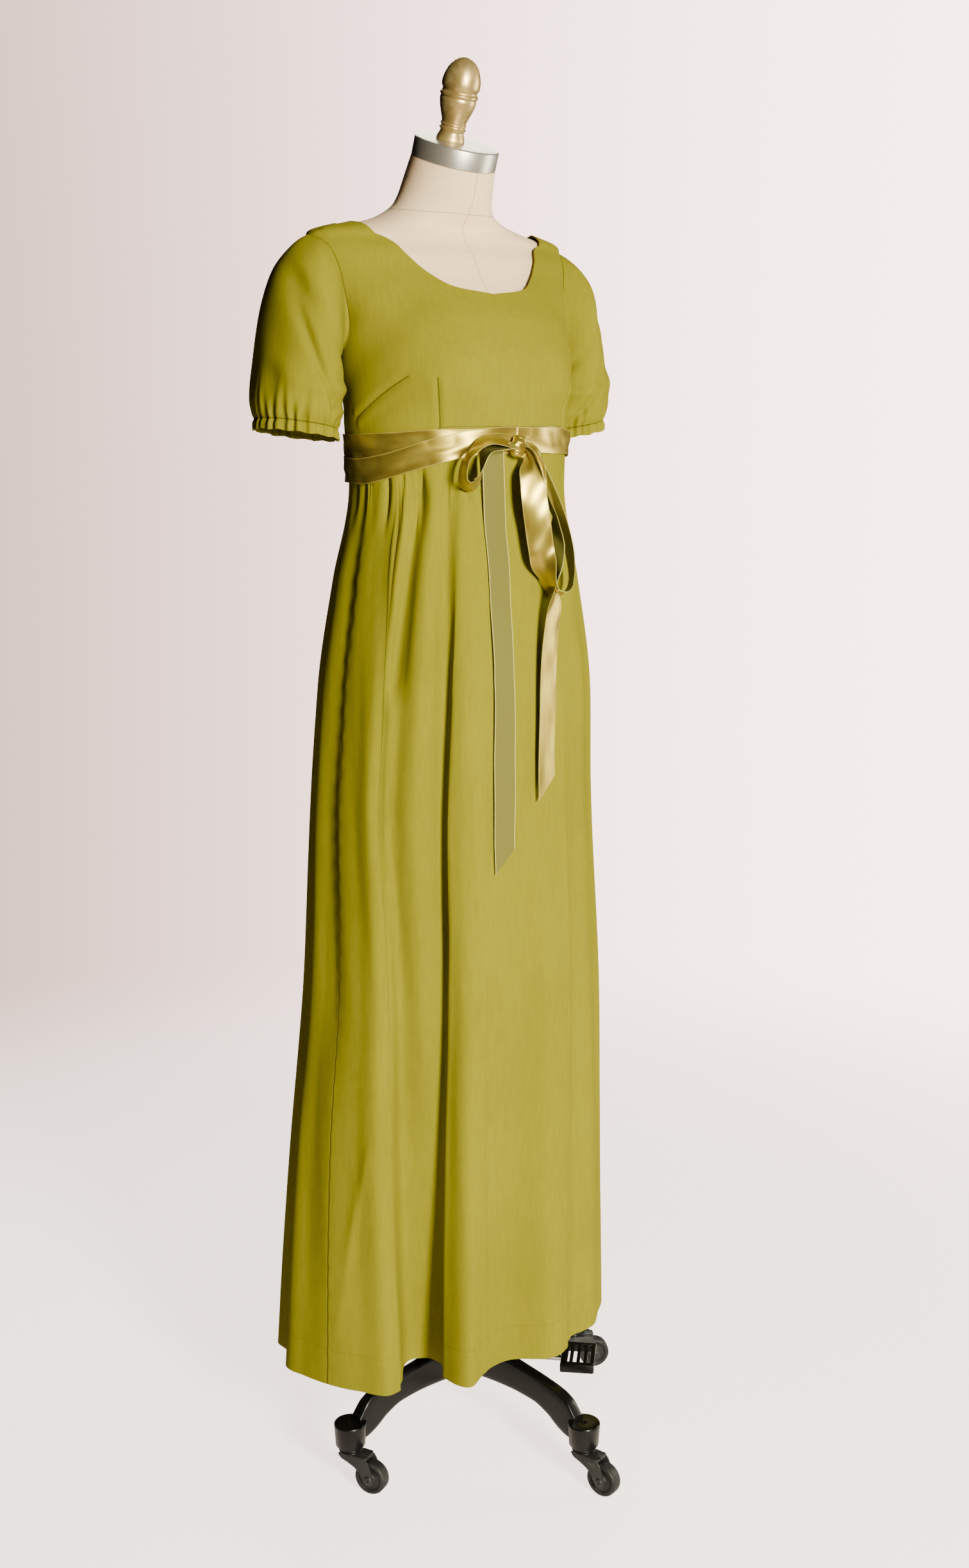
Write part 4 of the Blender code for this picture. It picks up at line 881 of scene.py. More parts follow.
def seamLines(turn, height):
    # signed distances for the stitched lines that the crepe's finish draws
    lines, onFront = {}, (awayFromFront(turn) < 95) * 1.0
    for label, name in (("bustDart", "bust"), ("waistDart", "waist")):
        across, along = dartDistance(turn, height, darts[name])
        lines[label] = stack(np.clip(across, -0.02, 0.02), np.clip(along, -0.5, 1.5), onFront)
    return lines


def addBodice(name, turn, height, shift):
    # the outer face at its relief, and the inner one a wall's thickness under it
    lift = bodiceRelief(turn, height)
    outer = bodicePoint(turn, height, lift) + shift
    inner = bodicePoint(turn, height, lift - cloth["wall"]) + shift
    points = np.concatenate([outer.reshape(-1, 3), inner.reshape(-1, 3)])
    quads = wallQuads(*outer.shape[:2], False)
    lines = {label: np.concatenate([n.reshape(-1, 3)] * 2) for label, n in seamLines(turn, height).items()}
    piece = addMesh(name + "Shell", points, quads, dressCrepe, "form", vectors=lines)
    standsFor(piece, name, "dress_cloth")
    return outer


def acrossSteps(corner, count):
    # close together along the shoulder, and even past the corner
    shoulder = bodiceGrid["onShoulder"]
    return np.concatenate([np.linspace(0.0, corner, shoulder), np.linspace(corner, 1.0, count - shoulder + 2)[1:]])


def makeBodice():
    # one front and two backs, each filled between its seam, its neck edge and its side edges
    half = acrossSteps(frontNeck["corner"], bodiceGrid["front"] // 2)
    across = np.concatenate([half / 2, 1.0 - half[-2::-1] / 2])
    up = np.linspace(0.0, 1.0, bodiceGrid["up"])

    def bottom(at):
        turn = -90.0 + 180.0 * at
        return turn, seamHeight(turn) + cloth["gap"]

    def neck(at):
        turn, height = edgeOf(frontNeck)(1.0 - np.abs(2.0 * at - 1.0))
        return np.sign(2.0 * at - 1.0) * turn, height

    def seamShift(turn, toward):
        onSeam = np.abs(np.abs(turn) - 90.0) < 0.01
        return stack(0.0 * turn, np.where(onSeam, toward * cloth["gap"] / 2, 0.0), 0.0 * turn)

    turn, height = coons(bottom, neck, edgeOf(sideEdge, -1), edgeOf(sideEdge), across, up, 0.12)
    front = addBodice("bodice_front", turn, height, seamShift(turn, -1))
    backs = {}
    steps = acrossSteps(backNeck["corner"], bodiceGrid["back"])
    for name, side in (("left", 1.0), ("right", -1.0)):

        def low(at, side=side):
            turn = side * (90.0 + 90.0 * at)
            return turn, seamHeight(turn) + cloth["gap"]

        def centreBack(at, side=side):
            bottomZ = cloth["seamHeight"] + cloth["gap"]
            return side * 180.0 + 0.0 * at, bottomZ + (backNeck["rows"][-1][2] - bottomZ) * at

        turn, height = coons(low, edgeOf(backNeck, side), edgeOf(backEdge, side), centreBack, steps, up, 0.24)
        shift = seamShift(turn, 1)
        shift[:, -1, 0] += side * cloth["gap"] / 2
        backs[name] = addBodice("bodice_back_" + name, turn, height, shift)
    return front, backs


# The sleeves

sleeveColumns = ("along", "outerX", "outerZ", "innerX", "innerZ", "halfDepth", "centreY")
sleeveRows = columnsOf(sleeveColumns, (
    (0.00, 0.178, 1.500, 0.158, 1.377, 0.050, 0.052),
    (0.14, 0.195, 1.492, 0.159, 1.366, 0.056, 0.053),
    (0.32, 0.216, 1.464, 0.157, 1.352, 0.062, 0.054),
    (0.50, 0.231, 1.416, 0.154, 1.337, 0.066, 0.056),
    (0.68, 0.240, 1.362, 0.1525, 1.318, 0.066, 0.058),
    (0.84, 0.247, 1.318, 0.152, 1.300, 0.062, 0.058),
    (0.93, 0.245, 1.299, 0.153, 1.284, 0.056, 0.058),
    (1.00, 0.247, 1.286, 0.151, 1.271, 0.057, 0.058),
))
sleeve = {"gathers": 24, "gatherDepth": 0.0021, "tucks": 7.0, "tuckDepth": 0.0024, "elastic": 0.935,
          "columns": 288, "rows": 84}
# soft folds on the outer half: how far each stands out, how it slants round the arm, where along the
# sleeve it is and how wide, and which way it faces and how far round it reaches
sleeveFolds = (
    (0.0042, 0.14, 0.4, 0.60, 0.05, 0.75, 0.50),
    (-0.0060, 0.10, 0.0, 0.34, 0.07, 0.55, 0.40),
    (-0.0052, -0.30, math.pi / 2, 0.72, 0.045, 0.90, 0.35))


def sleeveRelief(angle, along, side):
    # uneven gathers above the elastic, a small ruffle at the edge, tucks at the head and soft drag folds
    slow = 0.5 + 0.5 * np.sin(2 * angle + 0.7 * side)
    gather = np.cos(sleeve["gathers"] * angle + 1.9 * np.sin(3 * angle + side) + 0.8 * np.sin(7 * angle))
    fine = np.cos(41 * angle + 1.3 * np.sin(5 * angle))
    reach = 0.80 - 0.10 * np.sin(5 * angle + 1.3 * side) ** 2
    rise = ramp(0, 1, (along - reach) / (sleeve["elastic"] - reach))
    cuff = sleeve["gatherDepth"] * gather * rise * (0.45 + 0.55 * slow)
    cuff = cuff + 0.0006 * fine * ramp(0.86, 0.93, along)
    long_ = 0.0016 * np.cos(7 * angle + 1.5 * np.sin(2 * angle)) * bump(along, 0.78, 0.12) * (0.3 + 0.7 * slow)
    elastic = -0.0022 * bump(along, sleeve["elastic"], 0.018) - 0.0012 * ramp(0.95, 1.0, along)
    fromTop = np.degrees(math.pi - np.abs(angle - math.pi))
    tuck = sleeve["tuckDepth"] * np.cos(sleeve["tucks"] * angle + 0.5 * np.sin(2 * angle))
    tuck = tuck * ramp(0.0, 0.07, along) * ramp(0.30, 0.10, along) * ramp(105, 60, fromTop)
    drag = 0.0
    for out, swing, phase, at, width, facing, spread in sleeveFolds:
        drag = drag + out * bump(along - swing * np.sin(angle + phase), at, width) \
            * bump(np.sin(angle), facing, spread)
    sag = 0.0020 * bump(along + 0.06 * np.cos(2 * angle), 0.84, 0.04) * np.maximum(np.cos(angle - 2.2), 0)
    return cuff + long_ + elastic + tuck + drag + sag


def makeSleeve(side, name, front, back):
    # the head follows the armhole of the bodice, down its front and up its back
    column = -1 if side > 0 else 0
    under = int(round(sideEdge["corner"] * (bodiceGrid["up"] - 1)))
    head = np.concatenate([front[::-1, column][: bodiceGrid["up"] - under], back[:, 0][under:][1:-1]])
    closed = np.concatenate([head, head[:1]])
    # the share of the way round, by the rows of the bodice's own edge in the part
    rows = np.array((1.0, 0.970, 0.930, 0.847, 0.69, 0.53, 0.423))
    upShare = np.linspace(0, 1, bodiceGrid["up"])
    downPlaces = np.interp(-upShare[::-1][: bodiceGrid["up"] - under], -rows, np.arange(7))
    upPlaces = 12 - np.interp(-upShare[under:][1:-1], -rows, np.arange(7))
    places = np.concatenate([downPlaces, upPlaces, [12.0]]) / 12.0

    def surface(angle, along):
        # an ellipse at each row of the table, drawn at its head into the armhole's own edge
        read = {key: smoothRead(sleeveRows["along"], sleeveRows[key], along) for key in sleeveColumns[1:]}
        middleX, halfX = (read["outerX"] + read["innerX"]) / 2, (read["outerX"] - read["innerX"]) / 2
        middleZ, halfZ = (read["outerZ"] + read["innerZ"]) / 2, (read["outerZ"] - read["innerZ"]) / 2
        wave = sleeveRelief(angle, along, side)
        tube = stack(side * (middleX + (halfX + wave) * np.cos(angle)),
                     read["centreY"] - (read["halfDepth"] + wave) * np.sin(angle),
                     middleZ + halfZ * np.cos(angle) + 0.0007 * np.cos(13 * angle) * ramp(0.93, 1.0, along))
        place = (angle / (2 * math.pi)) % 1.0
        edge = np.stack([np.interp(place, places, closed[:, axis]) for axis in range(3)], axis=-1)
        edge = edge + np.array((side * 2 * cloth["gap"], 0.0, 0.0))
        share = ramp(-0.02, 0.30, along)[..., None]
        start = ramp(-0.02, 0.30, 0.0)
        share = (share - start) / (1 - start)
        return edge * (1 - share) + tube * share

    angle, along = np.meshgrid(np.arange(sleeve["columns"]) * 2 * math.pi / sleeve["columns"],
                               np.linspace(0, 1, sleeve["rows"]))
    outer = surface(angle, along)
    band = stack(np.clip((along - sleeve["elastic"]) * 0.2, -0.02, 0.02), 0.5, 1.0)
    piece = addWall("sleeveShell_" + name, outer, cloth["wall"], dressCrepe, "form", wrap=True,
                    vectors={"hemLine": band})
    standsFor(piece, "sleeve_" + name, "dress_cloth")


bodiceFront, bodiceBacks = makeBodice()
for sideName, sideSign in (("left", 1.0), ("right", -1.0)):
    makeSleeve(sideSign, sideName, bodiceFront, bodiceBacks[sideName])
print("bodice and sleeves made")


# The skirt

foldColumns = ("seam", "mid", "midOut", "hem", "hemOut", "gather")
folds = columnsOf(foldColumns, (
    (-180, -180, 1.025, -180, 1.040, 1.0), (-171, -171, 0.950, -171, 0.860, 1.0),
    (-162, -162, 1.020, -162, 1.040, 1.0), (-152, -152, 0.940, -152, 0.850, 1.0),
    (-142, -142, 1.030, -142, 1.040, 1.0), (-132, -132, 0.950, -132, 0.880, 1.0),
    (-122, -122, 1.010, -121, 1.000, 1.0), (-112, -112, 0.970, -110, 0.950, 1.0),
    (-102, -101, 1.000, -98, 0.995, 1.0), (-92, -91, 0.970, -87, 0.955, 1.0),
    (-83, -83, 0.985, -74, 0.945, 1.0), (-74, -72, 0.990, -59, 0.950, 1.0),
    (-65, -63, 1.020, -47, 0.990, 1.0), (-58, -59, 0.960, -45, 0.840, 1.0),
    (-51, -55, 0.930, -51, 0.580, 1.0), (-43, -45, 0.980, -40, 0.530, 0.9),
    (-35, -35, 0.890, -31, 0.630, 0.8), (-27, -30, 0.970, -28, 0.820, 0.5),
    (-19, -24, 1.010, -20, 1.010, 0.3), (-11, -13, 0.990, -12, 0.840, 0.1),
    (-2, -2, 0.990, -1, 0.820, 0.0), (8, 9, 0.995, 9, 1.000, 0.0),
    (18, 19, 0.990, 18, 1.000, 0.0), (28, 29, 0.985, 26, 0.920, 0.1),
    (37, 38, 1.000, 36, 0.990, 0.3), (46, 48, 0.985, 47, 0.970, 0.6),
    (55, 58, 1.000, 58, 0.960, 0.9), (64, 68, 0.955, 69, 0.860, 1.0),
    (75, 79, 1.010, 80, 1.000, 1.0), (88, 89, 0.960, 90, 0.900, 1.0),
    (100, 100, 1.015, 101, 1.020, 1.0), (110, 110, 0.955, 111, 0.860, 1.0),
    (120, 120, 1.015, 121, 1.020, 1.0), (130, 131, 0.950, 132, 0.870, 1.0),
    (140, 141, 1.025, 142, 1.040, 1.0), (150, 151, 0.940, 152, 0.850, 1.0),
    (160, 161, 1.020, 161, 1.030, 1.0), (170, 170, 0.950, 170, 0.860, 1.0),
))
foldCount = len(folds["seam"])
skirt = {"rightSide": 10, "leftSide": 29, "midHeight": 0.853, "perFold": 12, "rows": 132,
         "gatherDepth": 0.0006, "pinch": 0.0052, "smallPinch": 0.0018, "slow": 0.0011, "ripple": 0.00012,
         "pucker": 0.0006, "seamGap": 0.004, "hemTurn": 0.045}
# pressed and pinched lines: the fold place at the top and at the hem, the heights between which
# each shows, how far it stands out and how wide it is, in fold places
creaseColumns = ("top", "hem", "upper", "lower", "out", "width")
creases = columnsOf(creaseColumns, (
    (14.10, 13.40, 1.255, 0.96, -0.0125, 0.58),
    (15.98, 16.30, 1.300, 0.60, -0.0080, 0.46),
    (16.60, 16.95, 1.18, 0.147, 0.0032, 0.40),
    (18.20, 18.90, 0.95, 0.147, 0.0024, 0.30),
    (22.15, 22.85, 1.00, 0.147, 0.0022, 0.30),
    (20.30, 20.50, 0.75, 0.147, -0.0024, 0.60),
    (9.35, 9.85, 1.250, 0.50, -0.0032, 0.60),
    (11.60, 10.60, 0.46, 0.30, 0.0020, 0.30),
    (11.10, 10.30, 0.42, 0.20, 0.0016, 0.28),
    (25.60, 25.90, 1.02, 0.147, 0.0022, 0.40),
    (28.20, 28.30, 1.08, 0.147, 0.0028, 0.42),
    (31.70, 32.20, 1.05, 0.147, 0.0024, 0.40),
    (34.10, 33.90, 0.98, 0.147, 0.0020, 0.40),
    (2.10, 1.90, 1.04, 0.147, 0.0024, 0.42),
    (4.20, 4.00, 0.96, 0.147, 0.0022, 0.40),
    (6.40, 6.20, 1.02, 0.147, 0.0018, 0.40),
    (37.0, 36.90, 0.70, 0.147, 0.0014, 0.36),
))
# one pressed edge that laps over the hollow beside it: its fold places, its top, its depth and the hollow's width
lap = {"top": 12.32, "hem": 12.58, "upper": 1.240, "depth": 0.0130, "reach": 0.38, "lip": 0.35}


def lapLine(height):
    # the place of the lap's edge at each height, and the share of the way down to the hem
    down = np.clip((lap["upper"] - height) / (lap["upper"] - cloth["hem"]), 0.0, 1.0)
    return lap["top"] + (lap["hem"] - lap["top"]) * ramp(0.0, 0.2, down), down


def readFold(key, place):
    # a cubic between the rows, round and round; the turns go on growing
    cell = np.floor(place).astype(int)

    def at(offset):
        index = cell + offset
        turnedOn = 360.0 * np.floor_divide(index, foldCount) if key in ("seam", "mid", "hem") else 0.0
        return folds[key][index % foldCount] + turnedOn

    return cubicBetween(at(-1), at(0), at(1), at(2), place - cell)


def fromMiddle(place):
    # the distance from the middle between two whole places, and the number of that place
    number = np.round(place - 0.5)
    return place - number - 0.5, number


def skirtGathers(place, round_, height):
    # uneven pinches under the sash, deep ones and small ones between them
    uneasy = place + 0.34 * np.sin(11 * round_ + 1.0) + 0.18 * np.sin(26 * round_)
    off, number = fromMiddle(uneasy)
    uneven = 0.55 + 0.45 * np.sin(number * 2 * math.pi * 14 / foldCount + 0.7)
    pinch = -skirt["pinch"] * np.exp(-((off / 0.15) ** 2)) * uneven * ramp(1.248, 1.226, height)
    pinch = pinch * ramp(1.214 - 0.06 * uneven**2, 1.238 - 0.02 * uneven, height)
    off, number = fromMiddle(uneasy * 2)
    uneven = 0.5 + 0.5 * np.sin(number * math.pi * 20 / foldCount)
    small = -skirt["smallPinch"] * np.exp(-((off / 0.2) ** 2)) * uneven
    small = small * ramp(1.248, 1.230, height) * ramp(1.175, 1.222, height)
    return (pinch + small) * readFold("gather", place)


def skirtCreases(place, height):
    # a ridge is pressed to an edge, and a hollow is round
    lift = 0.0
    for top, hem, upper, lower, out, width in zip(*(creases[name] for name in creaseColumns)):
        down = np.clip((upper - height) / (upper - lower), 0.0, 1.0)
        off = place - top - (hem - top) * down
        off = (off + foldCount / 2) % foldCount - foldCount / 2
        shown = ramp(0.0, 0.18, down) * (ramp(1.0, 0.8, down) if lower > cloth["hem"] + 0.01 else 1.0)
        if out > 0:
            line = np.exp(-(np.sqrt(off**2 + 0.0016) - 0.04) / (0.5 * width))
        else:
            line = np.exp(-((off / width) ** 2))
        lift = lift + out * line * shown
    return lift


def skirtLap(place, height):
    # the cloth rises to a lip, drops at once past it, and comes back slowly
    line, down = lapLine(height)
    off = place - line
    rising = lap["lip"] * np.exp(np.minimum(off, 0.0) / 0.25)
    under = rising - np.exp(-np.maximum(off, 0.0) / lap["reach"]) - lap["lip"]
    lift = np.where(off > 0.01, under, rising) * (np.abs(off) < 4)
    return lap["depth"] * lift * ramp(0.0, 0.08, down) * (1.0 - 0.45 * ramp(0.35, 1.0, down))


def skirtRelief(place, height):
    # every wave has a whole number of turns round the hem, so that it meets itself at the centre back
    round_ = 2 * math.pi * place / foldCount
    lift = skirtGathers(place, round_, height) + skirtCreases(place, height) + skirtLap(place, height)
    slow = skirt["slow"] * np.sin(13 * round_ + height * 5.0) * np.sin(height * 9.0 + 5 * round_)
    slow = slow + skirt["ripple"] * np.sin(44 * round_ + height * 14.0) * np.sin(height * 23.0 + 12 * round_)
    for seam, often, phase in ((skirt["rightSide"], 210.0, 0.0), (skirt["leftSide"], 190.0, 1.0)):
        slow = slow + skirt["pucker"] * np.sin(height * often + phase) * bump(place, seam, 0.22)
    return lift + slow * ramp(1.22, 1.10, height)


def skirtPoint(place, share):
    # an ellipse at each height times the fold table's reach, with the table's turns
    place, share = np.broadcast_arrays(np.asarray(place, float), np.asarray(share, float))
    seamTurn = readFold("seam", place)
    height = cloth["hem"] + (seamHeight(seamTurn) - cloth["gap"] / 2 - cloth["hem"]) * share
    middle = skirt["midHeight"]
    formed = ramp(1.235, middle + 0.05, height)
    lower = np.clip((middle - height) / (middle - cloth["hem"]), 0.0, 1.0)
    turn = seamTurn * (1 - formed) + readFold("mid", place) * formed
    turn = turn * (1 - lower) + readFold("hem", place) * lower
    out = (1.0 + (readFold("midOut", place) - 1.0) * formed) * (1 - lower) + readFold("hemOut", place) * lower
    gather = skirt["gatherDepth"] * readFold("gather", place) * np.cos(2 * math.pi * place)
    gather = gather * ramp(1.242, 1.205, height) * ramp(1.15, 1.20, height)
    line, centre = dressLine(turn, height, out), dressLine(turn, height, 0.0)
    return line + unit(line - centre) * gather[..., None]


def makeSkirt():
    # three panels of the folded surface, moved out along its normals by the relief
    # the fold places at the sides of each panel, its flat size and its area; the rows are closest at the top
    panels = (("front", skirt["rightSide"], skirt["leftSide"], (0.86, 1.14), 0.68),
              ("back_left", skirt["leftSide"], foldCount, (0.50, 1.12), 0.38),
              ("back_right", 0, skirt["rightSide"], (0.52, 1.12), 0.39))
    shares = 1.0 - np.linspace(0.0, 1.0, skirt["rows"]) ** 1.25
    for name, first, last, flat, area in panels:
        # one more column on each side, so that the normals on both sides of a seam are the same
        places = first + np.arange(-1, (last - first) * skirt["perFold"] + 2) / skirt["perFold"]
        places[1] += skirt["seamGap"]
        places[-2] -= skirt["seamGap"]
        place, share = np.meshgrid(places, shares)
        # a column follows the lap's edge
        edge, _ = lapLine(cloth["hem"] + (cloth["seamHeight"] - cloth["hem"]) * share)
        column = round(lap["top"] * skirt["perFold"]) / skirt["perFold"]
        place = place + (edge - column) * bump(place, column, 0.9) * (name == "front")
        plain = skirtPoint(place, share)
        normal = gridNormals(plain)
        if np.sum(normal * (plain - plain.mean(axis=(0, 1)))) < 0:
            normal = -normal
        outer = plain + normal * skirtRelief(place, plain[..., 2])[..., None]
        outer[..., 2] = plain[..., 2]
        place, plain, outer = place[:, 1:-1], plain[:, 1:-1], outer[:, 1:-1]
        hemLine = stack(np.clip(plain[..., 2] - cloth["hem"] - skirt["hemTurn"], -0.02, 0.02), 0.5, 0.22)
        sideSeam = stack(np.minimum(place - first, last - place) * 0.025, 0.5, 0.8)
        piece = addWall("skirtShell_" + name, outer, cloth["wall"], dressCrepe, "form",
                        vectors={"hemLine": hemLine, "sideSeam": sideSeam})
        standsFor(piece, "skirt_" + name, "dress_cloth")


makeSkirt()
print("skirt made")


# The ribbon: the sash, the bow and its ends

sash = {"columns": 360, "rows": 15, "rise": 0.008, "slip": 0.026, "dents": (0.0006, 0.0007),
        "crease": 0.0010}


def sashDrop(turn):
    # the outer turn of the ribbon has slipped down at the wearer's right back
    away = (np.asarray(turn, float) + 110.0 + 180.0) % 360.0 - 180.0
    return sash["slip"] * ramp(105.0, 20.0, np.abs(away))


def addRibbon(name, outer, across, along, satinOut, node, wrap=False,
              face=None):
    # face is the way that the outer side looks, for a strip that turns about
    normals = gridNormals(outer, wrap)
    toward = None
    if face is not None:
        normals = normals * np.sign(np.sum(normals * face, axis=-1, keepdims=True))
        toward = outer - normals
    piece = addWall(name, outer, cloth["ribbonWall"] * 0.7, ribbonSatin, "form", wrap=wrap, normals=normals,
                    toward=toward, vectors={"weave": stack(across, along, 0.0)})
    shown = np.zeros(len(piece.data.vertices), np.float32)
    piece.data.attributes["outside"].data.foreach_get("value", shown)
    satin = shown if satinOut else 1.0 - shown
    piece.data.attributes.new("satin", "FLOAT", "POINT").data.foreach_set("value", satin)
    standsFor(piece, node, "ribbon_satin")


def makeSash(name, node, lift, drop, seed):
    # a band round the dress line with long, slanting dents where it has creased
    turn, across = np.meshgrid(np.arange(sash["columns"]) * 360.0 / sash["columns"],
                               np.linspace(-1, 1, sash["rows"]))
    t = np.radians(turn)
    middle = cloth["seamHeight"] + 0.002 + sash["rise"] * ramp(95.0, 30.0, awayFromFront(turn)) \
        - drop * sashDrop(turn) + 0.0012 * np.sin(t * 3 + seed)
    height = middle + across * cloth["ribbonWidth"] / 2 * (0.985 - 0.05 * np.sin(t * 5 + seed * 2) ** 2)
    fine, wide = sash["dents"]
    dents = fine * np.sin(t * 17 + across * 2.2 + seed) + wide * np.sin(t * 9 - across * 1.6 + seed * 3)
    crease = bump(across, 0.25 * np.sin(t * 6 + seed), 0.30) * (0.6 + 0.4 * np.sin(t * 4 + 2 * seed))
    dents = dents + sash["crease"] * crease
    lifted = lift + cloth["ribbonWall"] + np.maximum(dents, -0.0002)
    outer = dressLine(turn, height) + normalsOf(dressLine, turn, height) * lifted[..., None]
    outer[..., 2] = height
    addRibbon(name, outer, across, t * 0.125, True, node, wrap=True)


# the middle line of each piece of the bow, and how far its satin side is turned from the right front
# towards the wearer's left, in degrees: past 90 its matte side shows there
bowColumns = ("x", "y", "z", "turned")
leftLoop = (
    (-0.0154, -0.1050, 1.2692, -30), (-0.0298, -0.1080, 1.2722, -45), (-0.0461, -0.1100, 1.2730, -54),
    (-0.0616, -0.1090, 1.2696, -58), (-0.0729, -0.1050, 1.2612, -66), (-0.0789, -0.1010, 1.2514, -73),
    (-0.0801, -0.0980, 1.2398, -72), (-0.0794, -0.0970, 1.2300, -70), (-0.0752, -0.0980, 1.2236, -72),
    (-0.0684, -0.1000, 1.2217, -75), (-0.0624, -0.1020, 1.2262, -82), (-0.0592, -0.1040, 1.2351, -92),
    (-0.0580, -0.1050, 1.2478, -104), (-0.0528, -0.1050, 1.2592, -113), (-0.0349, -0.1050, 1.2656, -125),
    (-0.0142, -0.1035, 1.2678, -130))
rightLoop = (
    (-0.0032, -0.1050, 1.2677, -70), (0.0011, -0.1100, 1.2613, -55), (0.0038, -0.1160, 1.2507, -30),
    (0.0026, -0.1210, 1.2315, 6), (0.0030, -0.1230, 1.2100, 14), (0.0067, -0.1245, 1.1811, -6),
    (0.0122, -0.1250, 1.1497, 10), (0.0190, -0.1240, 1.1238, -38), (0.0304, -0.1210, 1.1046, -76),
    (0.0486, -0.1180, 1.0974, -88), (0.0630, -0.1160, 1.1031, -96), (0.0686, -0.1150, 1.1170, -101),
    (0.0671, -0.1130, 1.1408, -106), (0.0605, -0.1100, 1.1662, -110), (0.0443, -0.1080, 1.2012, -115),
    (0.0220, -0.1090, 1.2359, -120), (0.0066, -0.1080, 1.2577, -128), (-0.0020, -0.1035, 1.2663, -135))
rightTail = (
    (-0.0034, -0.1075, 1.2706, 50), (0.0042, -0.1120, 1.2670, 60), (0.0122, -0.1160, 1.2584, 68),
    (0.0208, -0.1185, 1.2361, 76), (0.0321, -0.1190, 1.2070, 78), (0.0382, -0.1200, 1.1821, 104),
    (0.0367, -0.1210, 1.1558, 130), (0.0365, -0.1215, 1.1286, 120), (0.0353, -0.1220, 1.1088, 92),
    (0.0358, -0.1215, 1.0843, 60), (0.0304, -0.1210, 1.0400, 54), (0.0276, -0.1195, 0.9839, 51),
    (0.0276, -0.1190, 0.9268, 50), (0.0286, -0.1185, 0.8683, 49))
strip = {"steps": 130, "across": 11}
knot = {"at": (-0.0045, -0.1036, 1.2655), "pinch": 0.6, "radius": (0.0035, 0.0068), "half": 0.0125, "tilt": 16.0,
        "grid": (72, 41)}
rightFront = unit(np.array((-0.604, -0.773, 0.197)))


def lengthAlong(middle):
    # metres from the first point of a line to each of its points
    return np.concatenate([[0.0], np.cumsum(np.linalg.norm(np.diff(middle, axis=0), axis=1))])


def ribbonStrip(rows, count, across, slant=0.0):
    # carries the width along the middle line, square to it, turned about it by the table's angle, with
    # gathers at the knot, a roll along the edges and a ripple past the knot
    read = columnsOf(bowColumns, rows)
    at = np.linspace(0, len(rows) - 1, count)
    line = np.stack([smoothRead(np.arange(len(rows)), read[key], at) for key in bowColumns], axis=1)
    for _ in range(4):
        line[2:-2] = evened(line)[2:-2]
    middle, turned = line[:, :3], np.radians(line[:, 3:])
    along = unit(np.gradient(middle, axis=0))
    out = unit(rightFront - np.sum(along * rightFront, axis=1, keepdims=True) * along)
    side = np.cross(out, along)
    wide = np.cos(turned) * side - np.sin(turned) * out
    face = np.cos(turned) * out + np.sin(turned) * side
    off = np.linalg.norm(middle - np.array(knot["at"]), axis=1)
    width = cloth["ribbonWidth"] * (knot["pinch"] + (1 - knot["pinch"]) * ramp(0.010, 0.034, off))
    length = lengthAlong(middle)
    gathered = 0.0014 * ramp(0.036, 0.012, off)[:, None] * np.cos(across * 7.5)[None, :]
    rolled = 0.0013 * np.sin(length * 42.0 + 0.8)[:, None] * (across**2 - 0.4)[None, :]
    rippled = 0.0009 * np.sin(length[:, None] * 120.0 + across[None, :] * 2.4)
    rippled = rippled * (ramp(0.02, 0.05, length) * ramp(0.26, 0.18, length))[:, None]
    outer = middle[:, None, :] + wide[:, None, :] * (across[None, :, None] * width[:, None, None] / 2)
    outer = outer + face[:, None, :] * (gathered + rolled + rippled)[..., None]
    tip = ramp(0.75, 1.0, np.linspace(0, 1, count)) ** 2
    outer = outer + along[:, None, :] * (slant * tip[:, None] * across[None, :])[..., None]
    return outer, face, length


def makeStrip(name, node, rows, slant=0.0):
    # a loop or an end of the bow, its satin side out
    across = np.linspace(-1, 1, strip["across"])
    outer, face, length = ribbonStrip(rows, strip["steps"], across, slant)
    place, far = np.meshgrid(across, length)
    addRibbon(name, outer, place, far, True, node, face=face[:, None, :])


leftTail = {"heights": (0.787, 0.898, 1.047, 1.149, 1.221, 1.2615),
            "x": (-0.0312, -0.0314, -0.0316, -0.0300, -0.0322, -0.0340), "half": 0.0138, "slant": 0.028,
            "offSkirt": 0.0012, "sashFoot": 1.225}
skirtMap = {"x": (-0.08, 0.10, 91), "height": (0.70, 1.275, 60), "places": 400}


def skirtFrontY(x, height):
    # the y of the skirt's front face under each point, read from a map of x and height
    levels, grid = np.linspace(*skirtMap["height"]), np.linspace(*skirtMap["x"])
    places = np.linspace(skirt["rightSide"], skirt["leftSide"], skirtMap["places"])
    rings = skirtPoint(places, (levels[:, None] - cloth["hem"]) / (seamHeight(0.0) - cloth["hem"]))
    table = np.array([np.interp(grid, ring[:, 0], ring[:, 1]) for ring in rings])
    row = np.clip((height - levels[0]) / (levels[1] - levels[0]), 0, len(levels) - 1.001)
    column = np.clip((x - grid[0]) / (grid[1] - grid[0]), 0, len(grid) - 1.001)
    r, c = row.astype(int), column.astype(int)
    u, v = column - c, row - r
    return (table[r, c] * (1 - u) * (1 - v) + table[r, c + 1] * u * (1 - v)
            + table[r + 1, c] * (1 - u) * v + table[r + 1, c + 1] * u * v)


